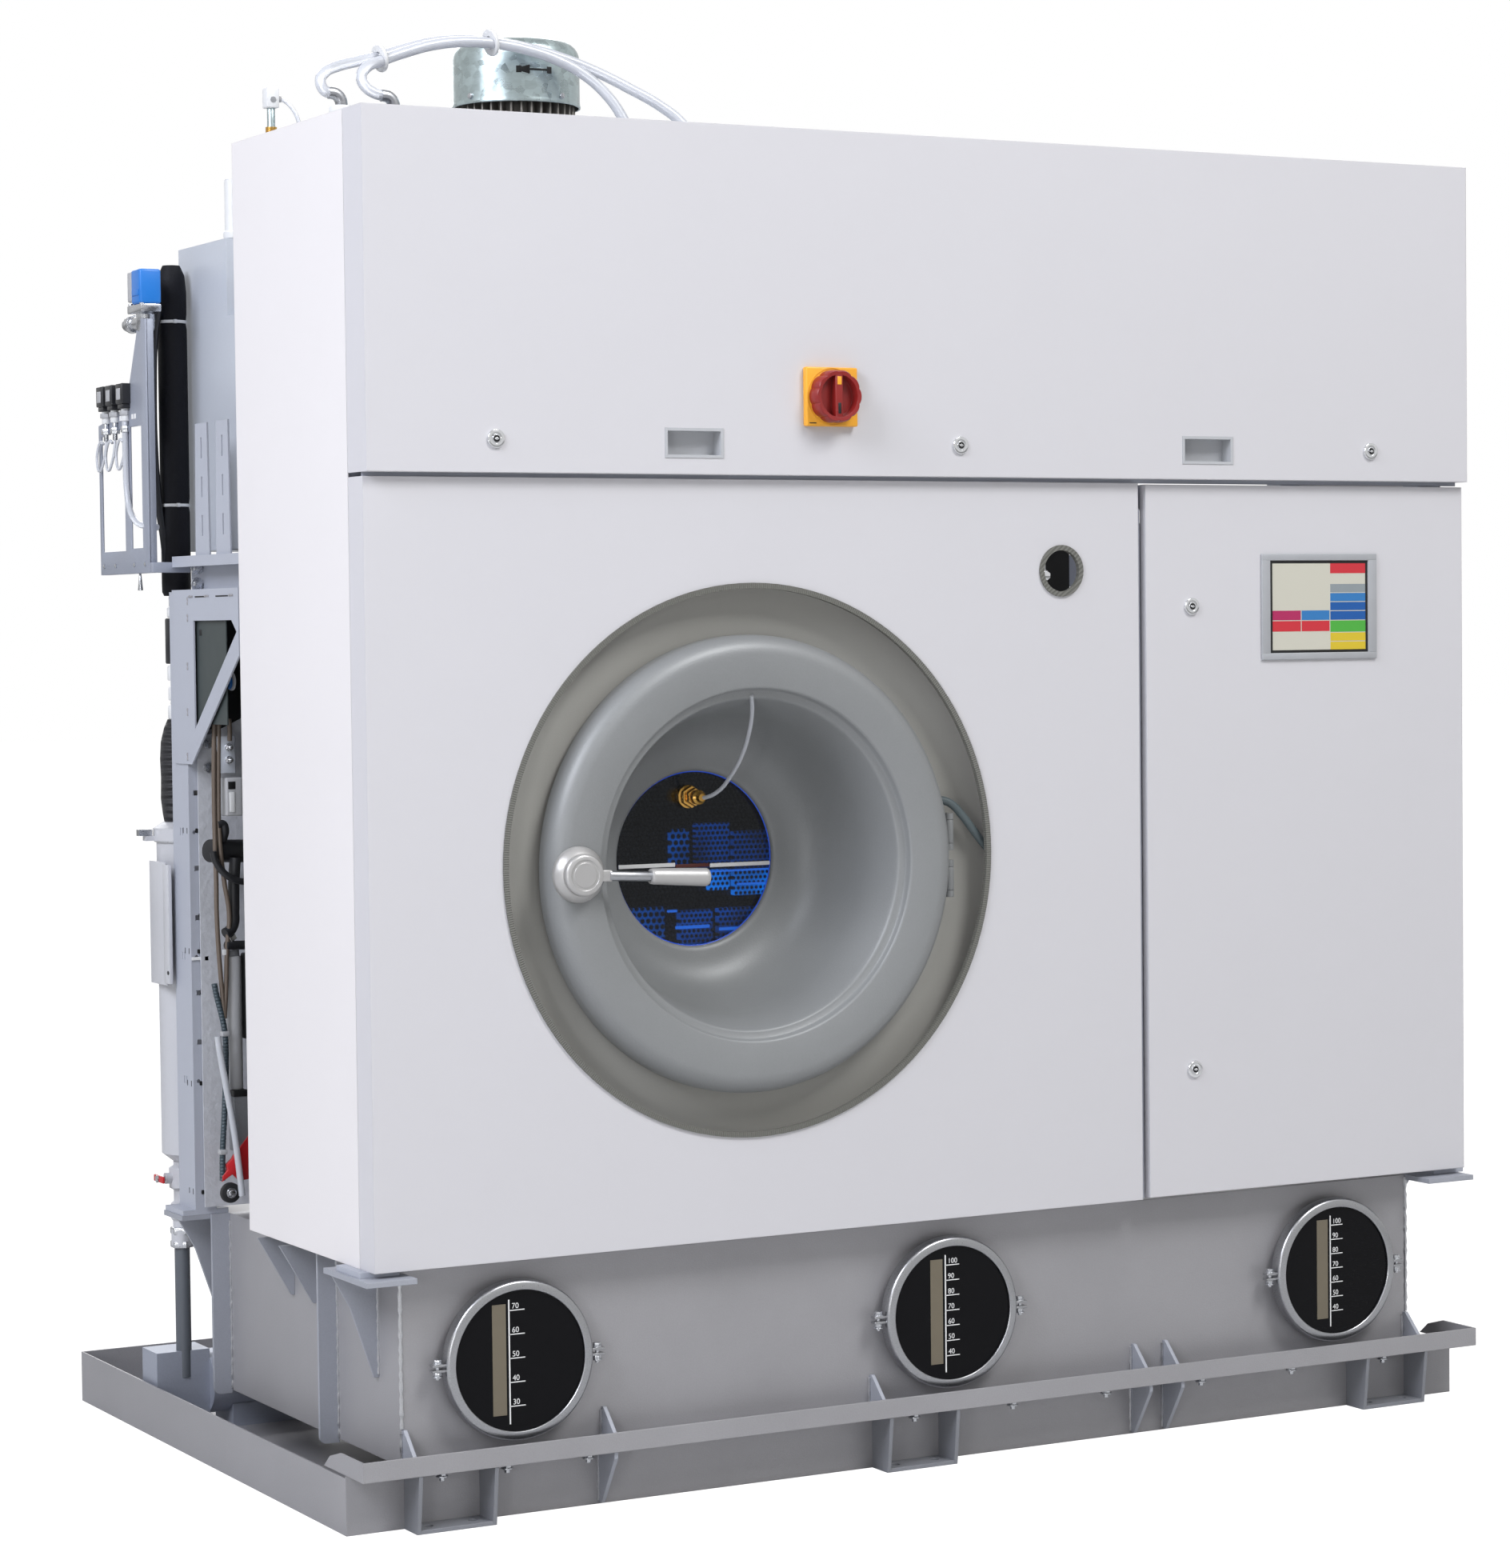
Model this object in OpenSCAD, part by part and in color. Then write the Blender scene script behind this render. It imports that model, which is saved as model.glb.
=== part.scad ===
// Front-loading dry cleaning machine standing in its own drip tray.
// X runs to the right, Y to the rear and Z up. The front faces -Y.
// The origin is the centre of the drip tray's underside.

/* [Drip tray and front rail] */
// How far the drip tray reaches past the cabinet, both sides together
tray_over = 34; // [30:1:40]
// Outside depth of the drip tray
tray_d = 1152; // [1140:2:1180]
// Height of the tray's side and rear walls
tray_h = 83; // [76:1:90]
// Sheet thickness of the tray
tray_sheet = 3; // [2:0.5:4]
// Sheet thickness of the front rail
rail_sheet = 3; // [2:0.5:4]
// How far the front rail reaches in front of the tray
rail_reach = 57; // [54:1:64]
// Height of the front rail's lip
rail_lip_h = 29; // [20:1:36]
// How far the rail ends reach past the tray on the right
rail_over = 10; // [0:1:20]

/* [Feet] */
// Outside width of one foot bracket
foot_w = 125; // [115:1:135]
// Plate thickness of the feet and gussets
foot_plate = 6; // [4:1:8]
// How far a foot reaches in front of the tray
foot_reach = 46; // [44:1:52]
// Radius of the anchor holes
anchor_r = 7; // [5:0.5:8]
// Distance between the two anchor holes of one foot
anchor_gap = 70; // [60:1:80]
// Nominal diameter of the rail bolts
rail_bolt_d = 8; // [6:1:10]

/* [Tanks] */
// How much narrower the tank unit is than the cabinet
tank_under = 146; // [140:2:156]
// Depth of the tank unit
tank_d = 762; // [758:1:764]
// Height of the tank unit
tank_h = 283; // [270:1:290]
// Wall thickness of the tanks
tank_wall = 4; // [3:0.5:6]
// Width of the stiffening ribs on the tank's side walls
rib_w = 31; // [25:1:36]

/* [Sight glasses] */
// Distance from an end of the tank unit to its nearest sight glass
sight_inset = 170; // [165:1:180]
// Height of the sight glasses above the floor
sight_z = 232; // [226:1:238]
// Inner radius of a sight glass neck
sight_r = 100; // [92:1:102]
// Length of the neck in front of the tank
sight_neck = 24; // [20:1:30]
// Thickness of the glass disc
sight_glass = 6; // [4:1:8]

/* [Cabinet] */
// Width of the cabinet
cab_w = 1956; // [1950:2:1962]
// Gap between the tank and the cabinet, filled by base plates
cab_gap = 8; // [6:1:10]
// Height of the lower front panel
panel_h = 1130; // [1126:1:1134]
// Gap between the lower panels and the upper cover
cover_gap = 6; // [5:1:8]
// Height of the upper front cover
cover_h = 514; // [508:1:524]
// How far the lower panels stand in front of the tank
panel_reach = 44; // [43:1:46]
// How far the upper cover stands in front of the tank
cover_reach = 59; // [57:1:62]
// Sheet thickness of the cabinet panels
sheet = 2; // [1.5:0.25:2]
// Width of the control door
ctl_w = 628; // [624:1:632]
// Gap between the lower front panel and the control door
door_gap = 14; // [12:1:16]
// Depth of the left and right side panels
side_panel_d = 431; // [425:1:436]

/* [Round openings] */
// Radius of the large round opening
opening_r = 408; // [402:1:412]
// Height of the large opening's centre
opening_z = 944; // [941:1:947]
// Radius of the peephole
peep_r = 35; // [30:1:38]
// How far the edge trims reach past the openings' edges
trim_lip = 5; // [4:0.5:7]

/* [Drum] */
// Distance from the cabinet's left side to the drum and door axis
drum_inset = 622; // [618:1:626]
// Height of the drum and door axis
drum_z = 938; // [935:1:941]
// Outer radius of the outer drum
tub_r = 446; // [442:1:448]
// Sheet thickness of the outer drum
tub_sheet = 3; // [2:0.5:4]
// Radius of the outer drum's mouth
mouth_r = 262; // [260:1:264]
// How far the perforated drum's wall stands inside the outer drum
cage_gap = 34; // [30:1:40]
// Sheet thickness of the perforated drum
cage_sheet = 3; // [2:0.5:3]
// Height of the lifters inside the drum
lifter_h = 70; // [50:1:90]
// Radius of the drum shaft
shaft_r = 25; // [22:0.5:28]
// Radius of the drum pulley
pulley_r = 180; // [160:1:190]
// Radius of the motor pulley
motor_pulley_r = 45; // [40:1:55]
// Width of the drive belt
belt_w = 50; // [40:1:52]
// Thickness of the drive belt
belt_t = 4; // [3:0.5:5]
// Radius of the drum motor
motor_r = 80; // [70:1:86]

/* [Loading door] */
// Outer radius of the loading door
door_r = 342; // [338:1:344]
// Inner radius of the door's front rim
rim_r = 258; // [255:1:260]
// Radius of the visible door glass
window_r = 134; // [128:1:138]
// How far the door's front face stands in front of the tank
door_reach = 60; // [58:1:62]
// Thickness of the door glass
door_glass_t = 12; // [8:1:12]
// Radius of the door's hinge pins
door_pin_r = 5; // [4:0.5:6]
// Height of the hinges above and below the door's centre
hinge_offset = 36; // [34:1:42]

/* [Locks, grips and switch] */
// Radius of a lock's front flange
lock_flange_r = 13.5; // [12:0.5:15]
// Radius of a lock's barrel
lock_barrel_r = 9; // [8:0.5:10]
// Radius of a lock's turning core
lock_core_r = 6; // [5:0.5:7]
// Width of a recessed grip
grip_w = 91; // [80:1:100]
// Height of a recessed grip
grip_h = 38; // [34:1:44]
// Side of the square main switch plate
switch_side = 88; // [86:1:92]
// Radius of the main switch knob
knob_r = 40; // [36:1:41]

/* [Fan and filter] */
// Radius of the fan housing
fan_r = 165; // [155:1:168]
// Radius of the fan motor's cowl
cowl_r = 96; // [94:1:104]
// Radius of the filter vessel
vessel_r = 58; // [50:1:60]
// Radius of the insulated pipe
pipe_r = 23.5; // [20:0.5:26]
// Inner radius of the vent pipe
vent_r = 9; // [8:0.5:10]

/* [Hidden] */
$fn = 64;

// Clearances: turning fits, loose fits and gaps between neighbours
fit = 0.05;
gap = 0.3;
cut = 1;

// Widths and places that follow the cabinet and the outer drum
tray_w = cab_w + tray_over;
tank_w = cab_w - tank_under;
panel_w = cab_w - ctl_w - door_gap;
cage_r = tub_r - cage_gap;
across = cab_w / 1956;

// Levels above the floor
rail_z = tray_h + tray_sheet;
tank_z0 = rail_z + rail_sheet;
tank_z1 = tank_z0 + tank_h;
cab_z0 = tank_z1 + cab_gap;
panel_z1 = cab_z0 + panel_h;
cover_z0 = panel_z1 + cover_gap;
cover_z1 = cover_z0 + cover_h;

// Planes from front to rear
front = -tray_d / 2;
lip_y = front - rail_reach;
panel_y = front - panel_reach;
cover_y = front - cover_reach;
side_y0 = front + 10;
side_y1 = side_y0 + side_panel_d;
tank_y1 = front + tank_d;

// Sides
tank_shift = -2;
tank_x0 = tank_shift - tank_w / 2;
tank_x1 = tank_shift + tank_w / 2;
cab_shift = 14;
cab_x0 = cab_shift - cab_w / 2;
cab_x1 = cab_shift + cab_w / 2;
frame_x0 = cab_x0 + sheet;
frame_x1 = cab_x1 - sheet;
panel_x1 = cab_x0 + panel_w;
left = cab_x0 + 964;
right = cab_x1 - 992;
drum_x = cab_x0 + drum_inset;
ctl_x0 = panel_x1 + door_gap;

// Front rail, feet and gussets
rail_x0 = -tray_w / 2 + tray_sheet;
rail_x1 = tray_w / 2 + rail_over;
foot_centres = [tank_x0 + foot_w / 2 + 2, tank_shift - 60, tank_x1 - foot_w / 2 + 2];
rail_bolts = [for (x = [-861, -758, -627, -70, 108, 282, 464, 642, 827]) x * across];
bolt_y = front - 36;
lower_gussets = [for (x = [-590, 356, 417]) x * across];
upper_gussets = [tank_x0 + foot_plate / 2, for (x = [-584, -125, 358, 418]) x * across,
    tank_x1 - foot_plate / 2];
partitions = [for (x = [-577, -127, 361, 420]) x * across];
outrigger_left = cab_x0 - 21;
outrigger_right = cab_x1 + 3;
shelf_t = 8;
corner_y = front + 83;

// Sight glasses
sight_x = [tank_x0 + sight_inset + 5, tank_shift + 5, tank_x1 - sight_inset + 5];
neck_wall = 4;
flange_r = sight_r + 12;
clamp_r = flange_r + 5;
neck_front = -front + sight_neck;
glass_front = neck_front + sight_glass;
lug_x = clamp_r + 11;
clamp_bolt_r = 3;

// Frame
column_x = 35;
column_y = 72;
column_t = 3;
column_y0 = front + 680;
column_z1 = 1357;
rail_h = 56;
rail_top = column_z1 + rail_h;
post = 40;
post_y0 = side_y0 + 6;
mid_post_y0 = side_y1 - 45;
top_z = cover_z1 - 40;
beam_y0 = column_y0 + 6;
post_x = ctl_x0 - 27;

// Drum, belt and motor
tub_front = -front + 4;
tub_back = -22;
cage_front = tub_front - 20;
cage_back = 33;
motor_x = drum_x + 402;
motor_z = 470;
pulley_y0 = 225;
pulley_w = 60;
bearing_r = shaft_r + 20;
bearing_w = 22;
bearing_y = [40, 160];
housing_y1 = 200;

// Loading door
door_front = -front + door_reach;
door_back = -front + 14;
door_fillet = 30;
funnel_front = door_front - 14;
glass_front_f = 424;
glass_seat_r = window_r + 14;
hinge_x = drum_x + door_r + 9;
hinge_y = -(door_back + 10);
knuckle_h = 36;
knuckle_r = 7;
hub_r = 41;
hub_x = drum_x - 302;
hub_z = drum_z - 2;
hub_front = door_front + 18;
spindle_r = 8;
lever_tilt = 3;
grip_f = hub_front + 5;
fitting_x = drum_x - 8;
fitting_z = drum_z + 95;

// Upper cover and control door
cover_depth = 68;
cover_pin = [cover_y + 68.5, cover_z1 + 2];
cover_pin_r = 2.5;
cover_knuckle_r = 4.5;
cover_hinges = [cab_shift - 714, cab_shift, cab_shift + 706];
ctl_depth = 16;
ctl_pin = [cab_x1 - 9, panel_y + 23];
ctl_pin_r = 2.5;
ctl_knuckle_r = 6;
ctl_hinges = [cab_z0 + 100, cab_z0 + 565, cab_z0 + 1030];
lock_z = cover_z0 + 48;
cover_locks = [cab_shift - 778, cab_shift, cab_shift + 779];
ctl_lock_x = ctl_x0 + 86;
ctl_locks = [cab_z0 + 936, cab_z0 + 201];
grips = [left - 443.5, right + 473];
grip_z = cover_z0 + 46;
grip_depth = 24;
switch_x = left - 216;
switch_z = cover_z0 + 117;
switch_t = 12;
knob_h = 22;
hmi = [right + 585, right + 814, 1229, 1399];
hmi_edge = 11;
screen = [right + 604, right + 796, 1241, 1385];

// Fan, ducts, filter and pipes
fan_at = [left - 590, -350];
fan_z0 = 1800;
fan_z1 = 1985;
fan_outlet = [left - 755, left - 640];
fan_shaft_r = 9;
cowl_z0 = 2075;
cowl_z1 = 2173;
duct_wall = 2;
lint_box = [left - 690, left - 490, -450, -250];
port = [left - 602, left - 478];
duct_x0 = left - 895;
duct_x1 = left - 470;
pipe_at = [left - 925, 242];
vessel_at = [left - 905, 242];
vessel_z = [440, 965];
clamp_hinge = [vessel_at[0] - vessel_r - 12, vessel_at[1] + 14];
valve_at = [left - 935, 242];
valve_z = 414;
bracket_x = left - 995;
hose_r = 8;
still_at = [right + 640, 380];
elbows = [[left - 945, -520, 2058], [left - 868, -530, 2057]];
cylinder_at = [left - 950, -262];
vent = [left - 877, 90];
vent_z = [1910, 2003];

// Route of the hose between the door's rim and the recess plate
door_hose_route = [[3.2, -598, 1022], [14, -600, 1016], [32, -602, 998], [50, -602, 977],
    [68, -600, 957], [84, -597, 943], [97.7, -593, 937]];
// Route of the clear tube from the fitting on the window up to the rim
door_tube_route = [[-350, -470.3, 1033], [-350, -486, 1034], [-350, -510, 1039], [-350, -534, 1049],
    [-350, -556, 1065], [-350, -577, 1089], [-350, -594, 1120], [-350, -607, 1150],
    [-350, -619, 1171], [-350, -626.5, 1181], [-350, -628, 1191]];
// Routes of the two clear hoses over the fan motor
hose_route_a = [[-961.3, -520, 2058], [-972, -520, 2062], [-977, -518, 2074], [-968, -512, 2087],
    [-945, -503, 2098], [-910, -493, 2107], [-870, -484, 2118], [-828, -477, 2132],
    [-782, -472, 2146], [-735, -468, 2153], [-680, -466, 2154], [-628, -468, 2149],
    [-575, -474, 2137], [-520, -482, 2118], [-468, -492, 2094], [-425, -504, 2070],
    [-396, -516, 2045], [-383, -525, 2020], [-380, -528, 2002], [-380, -528, 1993.5]];
hose_route_b = [[-884.3, -530, 2057], [-898, -529, 2060], [-910, -525, 2069], [-913, -518, 2083],
    [-902, -510, 2098], [-874, -502, 2110], [-832, -495, 2126], [-784, -490, 2141],
    [-735, -486, 2150], [-680, -484, 2151], [-634, -486, 2145], [-588, -491, 2131],
    [-548, -498, 2110], [-516, -506, 2082], [-496, -514, 2052], [-485, -521, 2022],
    [-482, -525, 2002], [-482, -525, 1993.5]];
// Routes of the small air tubes at the valve bracket and on the pneumatic cylinder
air_tube_route = [[-1000, 262, 1632], [-1000, 262, 1600], [-1000, 262, 1560], [-1000, 258, 1520],
    [-1000, 246, 1490], [-998, 222, 1470], [-990, 195, 1462], [-978, 178.5, 1460]];
damper_tube_route = [[-939.5, -262, 2082], [-930, -264, 2080], [-918, -268, 2068],
    [-910, -272, 2048], [-908, -275, 2020], [-908, -276, 1993.5]];

// ---- Helpers ---------------------------------------------------------------

// A box between two corners
module block(lo, hi) {
    translate(lo) cube(hi - lo);
}

// Rods along X, Y and Z between two levels, at the two other coordinates
module rod_x(r, x0, x1, at) {
    translate([x0, at[0], at[1]]) rotate([0, 90, 0]) cylinder(r = r, h = x1 - x0);
}

module rod_y(r, y0, y1, at) {
    translate([at[0], y0, at[1]]) rotate([-90, 0, 0]) cylinder(r = r, h = y1 - y0);
}

module rod_z(r, z0, z1, at) {
    translate([at[0], at[1], z0]) cylinder(r = r, h = z1 - z0);
}

// A hexagonal nut or bolt head along Z
module hex_z(r, z0, z1, at) {
    translate([at[0], at[1], z0]) cylinder(r = r, h = z1 - z0, $fn = 6);
}

// A [y, z] outline extruded along X
module along_x(x0, x1) {
    translate([x0, 0, 0]) rotate([90, 0, 90]) linear_extrude(x1 - x0) children();
}

// An [x, z] outline extruded along Y
module along_y(y0, y1) {
    translate([0, y1, 0]) rotate([90, 0, 0]) linear_extrude(y1 - y0) children();
}

// A [radius, forward] outline turned round an axis along Y, forward being -Y
module turned(at) {
    translate([at[0], 0, at[1]]) rotate([90, 0, 0]) rotate_extrude() children();
}

// A copy of the children mirrored about the plane X = x
module mirrored_at(x) {
    translate([2 * x, 0, 0]) mirror([1, 0, 0]) children();
}

// Points of an arc round a centre, from angle a to angle b
function arc(c, r, a, b, n = 8) =
    [for (i = [0:n]) [c[0] + r * cos(a + (b - a) * i / n), c[1] + r * sin(a + (b - a) * i / n)]];

// Unit vector, and the tangent of a route at one of its points
function unit(v) = v / norm(v);
function tangent(p, i) = unit(p[min(i + 1, len(p) - 1)] - p[max(i - 1, 0)]);

// One direction across a route, kept from twisting by a fixed reference
function across(t, ref) = unit(cross(t, ref));

// Rings of points round a route, and the tube that joins them
function tube_points(p, r, sides, ref) =
    [for (i = [0:len(p) - 1]) let (t = tangent(p, i), u = across(t, ref), v = cross(t, u))
        for (k = [0:sides - 1]) p[i] + r * (cos(360 * k / sides) * u + sin(360 * k / sides) * v)];
function tube_faces(n, sides) = concat(
    [[for (k = [0:sides - 1]) k]],
    [for (i = [0:n - 2]) for (k = [0:sides - 1]) let (a = i * sides + k,
        b = i * sides + (k + 1) % sides) [a, a + sides, b + sides, b]],
    [[for (k = [sides - 1:-1:0]) (n - 1) * sides + k]]);

module tube(route, r, sides = 10, ref = [0, 1, 0]) {
    polyhedron(tube_points(route, r, sides, ref), tube_faces(len(route), sides));
}

// ---- Base ------------------------------------------------------------------

module drip_tray() color("#8d8f94") {
    difference() {
        block([-tray_w / 2, front, 0], [tray_w / 2, -front, tray_h]);
        block([-tray_w / 2 + tray_sheet, front + tray_sheet, tray_sheet],
            [tray_w / 2 - tray_sheet, -front - tray_sheet, tray_h + cut]);
    }
    block([-tray_w / 2, front, 0], [tray_w / 2, front + tray_sheet, rail_z]);
}

// Angle rail on the tray's front wall, with a raised plate at each end
module front_rail() color("#9b9da1") {
    lip_z = rail_z + rail_lip_h;
    difference() {
        along_x(rail_x0, rail_x1)
            polygon([[front + tray_sheet, rail_z], [lip_y, rail_z], [lip_y, lip_z],
                [lip_y + rail_sheet, lip_z], [lip_y + rail_sheet, tank_z0],
                [front + tray_sheet, tank_z0]]);
        for (x = rail_bolts) rod_z(rail_bolt_d / 2 + gap, rail_z - cut, tank_z0 + cut, [x, bolt_y]);
    }
    for (x = [rail_x0, rail_x1 - rail_sheet])
        along_x(x, x + rail_sheet)
            polygon([[lip_y, rail_z], [lip_y, lip_z], [front + 27, lip_z], [front + 66, lip_z - 11],
                [front + 88, rail_z]]);
}

// Three U brackets in front of the tray, each with two anchor holes
module front_feet() color("#8d8f94")
    for (x = foot_centres) {
        for (side = [-foot_w / 2, foot_w / 2 - foot_plate])
            along_x(x + side, x + side + foot_plate)
                polygon([[front, 0], [front - foot_reach, 0], [lip_y + 1, rail_z], [front, rail_z]]);
        difference() {
            block([x - foot_w / 2, front - foot_reach, 0], [x + foot_w / 2, front, foot_plate]);
            for (s = [-1, 1])
                rod_z(anchor_r, -cut, foot_plate + cut,
                    [x + s * anchor_gap / 2, front - foot_reach / 2]);
        }
    }

// Outline of a side rib with a rounded lower corner
module rib_outline(wall, out) {
    r = 10;
    s = sign(out - wall);
    polygon(concat([[wall, tank_z1], [wall, tank_z0 - 5]],
        arc([out - s * r, tank_z0 - 5 + r], r, s > 0 ? -90 : 270, s > 0 ? 0 : 180, 4),
        [[out, tank_z1]]));
}

// Bracket that carries a corner of the cabinet beside the tank
module outrigger(wall, out, y0, y1, web_y, foot_z) {
    s = sign(out - wall);
    block([min(wall, out), y0, tank_z1 - shelf_t], [max(wall, out), y1, tank_z1]);
    along_y(web_y - foot_plate / 2, web_y + foot_plate / 2)
        polygon([[wall, foot_z], [wall + s * 7, foot_z], [wall + s * 43, tank_z1 - 60],
            [out - s * 6, tank_z1 - shelf_t], [wall, tank_z1 - shelf_t]]);
}

// Welded stiffeners: rail gussets, side ribs, cabinet gussets and outriggers
module base_gussets() color("#8b9097") {
    for (x = lower_gussets)
        along_x(x - foot_plate / 2, x + foot_plate / 2)
            polygon([[front, 2], [front - 8, 2], [lip_y + rail_sheet, rail_z - 10],
                [lip_y + rail_sheet, rail_z], [front, rail_z]]);
    for (x = upper_gussets)
        along_x(x - foot_plate / 2, x + foot_plate / 2)
            polygon([[front, tank_z0], [front - 42, tank_z0], [front - 42, tank_z0 + 19],
                [front - 6, tank_z0 + 55], [front, tank_z0 + 55]]);
    for (wall = [[tank_x0, -1, outrigger_left], [tank_x1, 1, outrigger_right]]) {
        for (y = [front + 237, front + 676])
            along_y(y - foot_plate / 2, y + foot_plate / 2)
                rib_outline(wall[0], wall[0] + wall[1] * rib_w);
        for (y = [front + 406, front + 319])
            along_y(y - foot_plate / 2, y + foot_plate / 2)
                polygon([[wall[0], tank_z1 - 91], [wall[0] + wall[1] * 5, tank_z1 - 91],
                    [wall[0] + wall[1] * 58, tank_z1], [wall[0], tank_z1]]);
        outrigger(wall[0], wall[2], lip_y - 7, corner_y + 13, corner_y, tank_z0 + 118);
        outrigger(wall[0], wall[2], column_y0, tank_y1, column_y0 + 36, tank_z0 + 118);
    }
}

// Row of tanks behind one welded front plate, a filling hole over each
module tank_shell() color("#8f9297") {
    walls = concat([tank_x0 - tank_wall / 2 + tank_wall], partitions, [tank_x1 - tank_wall / 2]);
    difference() {
        block([tank_x0, front, tank_z0], [tank_x1, tank_y1, tank_z1]);
        for (i = [0:len(walls) - 2]) {
            x0 = i == 0 ? tank_x0 + tank_wall : walls[i] + tank_wall / 2;
            x1 = i == len(walls) - 2 ? tank_x1 - tank_wall : walls[i + 1] - tank_wall / 2;
            block([x0, front + tank_wall, tank_z0 + tank_wall],
                [x1, tank_y1 - tank_wall, tank_z1 - tank_wall]);
            if (x1 - x0 > 100)
                rod_z(20, tank_z1 - tank_wall - cut, tank_z1 + cut, [x0 + 0.75 * (x1 - x0), tank_y1 - 60]);
        }
        for (x = sight_x) rod_y(sight_r, front - cut, front + tank_wall + cut, [x, sight_z]);
    }
    for (x = [-600 * across, 0, 600 * across])
        block([x - 30, front + 40, tray_sheet], [x + 30, tank_y1 - 40, tank_z0]);
}

// Short neck and flange in front of each tank
module sight_flanges() color("#a6a8ac")
    for (x = sight_x) turned([x, sight_z])
        polygon([[sight_r, -front], [sight_r + neck_wall, -front], [sight_r + neck_wall, neck_front - 8],
            [flange_r, neck_front - 8], [flange_r, neck_front], [sight_r, neck_front]]);

module sight_panes() color("#101114")
    for (x = sight_x) rod_y(flange_r - 4, -glass_front, -neck_front, [x, sight_z]);

// Two half bands on each sight glass, bolted together at left and right
module sight_clamps() color("#c9cbce")
    for (x = sight_x) difference() {
        union() {
            turned([x, sight_z])
                polygon([[sight_r + 3, glass_front + gap], [sight_r + 3, glass_front + 3],
                    [clamp_r, glass_front + 3], [clamp_r, neck_front - 12],
                    [sight_r + 6, neck_front - 12], [sight_r + 6, neck_front - 8 - gap],
                    [flange_r + 1, neck_front - 8 - gap], [flange_r + 1, glass_front + gap]]);
            for (s = [-1, 1])
                block([x + min(s * (clamp_r - 2), s * (clamp_r + 21)), -glass_front, sight_z - 5],
                    [x + max(s * (clamp_r - 2), s * (clamp_r + 21)), -neck_front + 8, sight_z + 5]);
        }
        block([x - clamp_r - 30, -glass_front - 10, sight_z - 2],
            [x + clamp_r + 30, -neck_front + 20, sight_z + 2]);
        for (s = [-1, 1])
            rod_z(clamp_bolt_r + gap, sight_z - 10, sight_z + 10,
                [x + s * lug_x, -(neck_front - 1)]);
    }

// Bolts of the front rail and of the sight glass clamps, each with its nut
module base_fasteners() color("#b9bcc2") {
    for (x = rail_bolts) {
        rod_z(rail_bolt_d / 2, rail_z - 14, tank_z0 + 1, [x, bolt_y]);
        hex_z(rail_bolt_d * 0.85, tank_z0, tank_z0 + 5, [x, bolt_y]);
        hex_z(rail_bolt_d * 0.85, rail_z - 6.5, rail_z, [x, bolt_y]);
    }
    for (x = sight_x) for (s = [-1, 1]) {
        at = [x + s * lug_x, -(neck_front - 1)];
        rod_z(clamp_bolt_r, sight_z - 15, sight_z + 6, at);
        hex_z(clamp_bolt_r * 1.9, sight_z + 5, sight_z + 9.5, at);
        hex_z(clamp_bolt_r * 1.9, sight_z - 10, sight_z - 5, at);
    }
}

// ---- Frame and panels --------------------------------------------------------

// Slotted channel that opens away from its side of the cabinet
module rear_column() {
    x = frame_x0;
    z_first = 584;
    z_step = 197;
    difference() {
        block([x, column_y0, cab_z0], [x + column_x, column_y0 + column_y, column_z1]);
        block([x + column_t, column_y0 + column_t, cab_z0 - cut],
            [x + column_x + cut, column_y0 + column_y - column_t, column_z1 + cut]);
        for (i = [0:3]) {
            z = z_first + i * z_step;
            for (y = [28, 38])
                block([x - cut, column_y0 + y, z - 6], [x + column_t + cut, column_y0 + y + 3, z + 6]);
            for (dx = [9, 26])
                rod_y(3, column_y0 - cut, column_y0 + column_t + cut, [x + dx, z]);
            for (dz = [62, 140])
                block([x + 8, column_y0 - cut, z + dz - 4],
                    [x + 26, column_y0 + column_t + cut, z + dz + 4]);
        }
    }
    block([x - 21, column_y0, tank_z1], [x + column_x + 20, column_y0 + column_y + 8, cab_z0]);
}

// Square posts at the cabinet's corners, the rear columns and the post beside the control door
module frame_columns() color("#b4b7bb") {
    rear_column();
    mirrored_at(cab_shift) rear_column();
    for (x = [frame_x0, frame_x1 - post]) {
        block([x, post_y0, cab_z0], [x + post, post_y0 + post, top_z - post]);
        block([x - (x < 0 ? 16 : 5), post_y0 - 40, tank_z1],
            [x + post + (x < 0 ? 5 : 16), post_y0 + post + 8, cab_z0]);
        block([x, mid_post_y0, rail_top], [x + post, mid_post_y0 + post, top_z - post]);
    }
    block([post_x, post_y0, tank_z1], [post_x + post, post_y0 + post, panel_z1 - post]);
    // keeper strip that the control door's lock cams turn behind
    block([panel_x1, panel_y + 14, cab_z0], [ctl_x0 - 2, panel_y + 18, panel_z1 - post]);
}

// Lipped side rail, truss plate and the two upright slotted plates of one side
module side_rail() {
    x = frame_x0;
    y0 = post_y0 + post;
    y1 = column_y0 + 56;
    along_y(y0, y1)
        polygon([[x, rail_top - 17], [x, rail_top], [x + column_x, rail_top], [x + column_x, column_z1],
            [x, column_z1], [x, column_z1 + 3], [x + column_x - 3, column_z1 + 3],
            [x + column_x - 3, rail_top - 3], [x + 3, rail_top - 3], [x + 3, rail_top - 17]]);
    difference() {
        along_x(x - 3, x)
            polygon([[y1 - 4, column_z1 + 3], [side_y1 + 3, column_z1 + 3], [side_y1 + 3, column_z1 - 101],
                [column_y0 - 26, column_z1 - 271], [y1 - 4, column_z1 - 271]]);
        along_x(x - 4, x + 1)
            polygon([[column_y0 - 42, column_z1 - 46], [side_y1 + 32, column_z1 - 46],
                [side_y1 + 11, column_z1 - 64], [column_y0 - 42, column_z1 - 216]]);
    }
}

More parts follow.
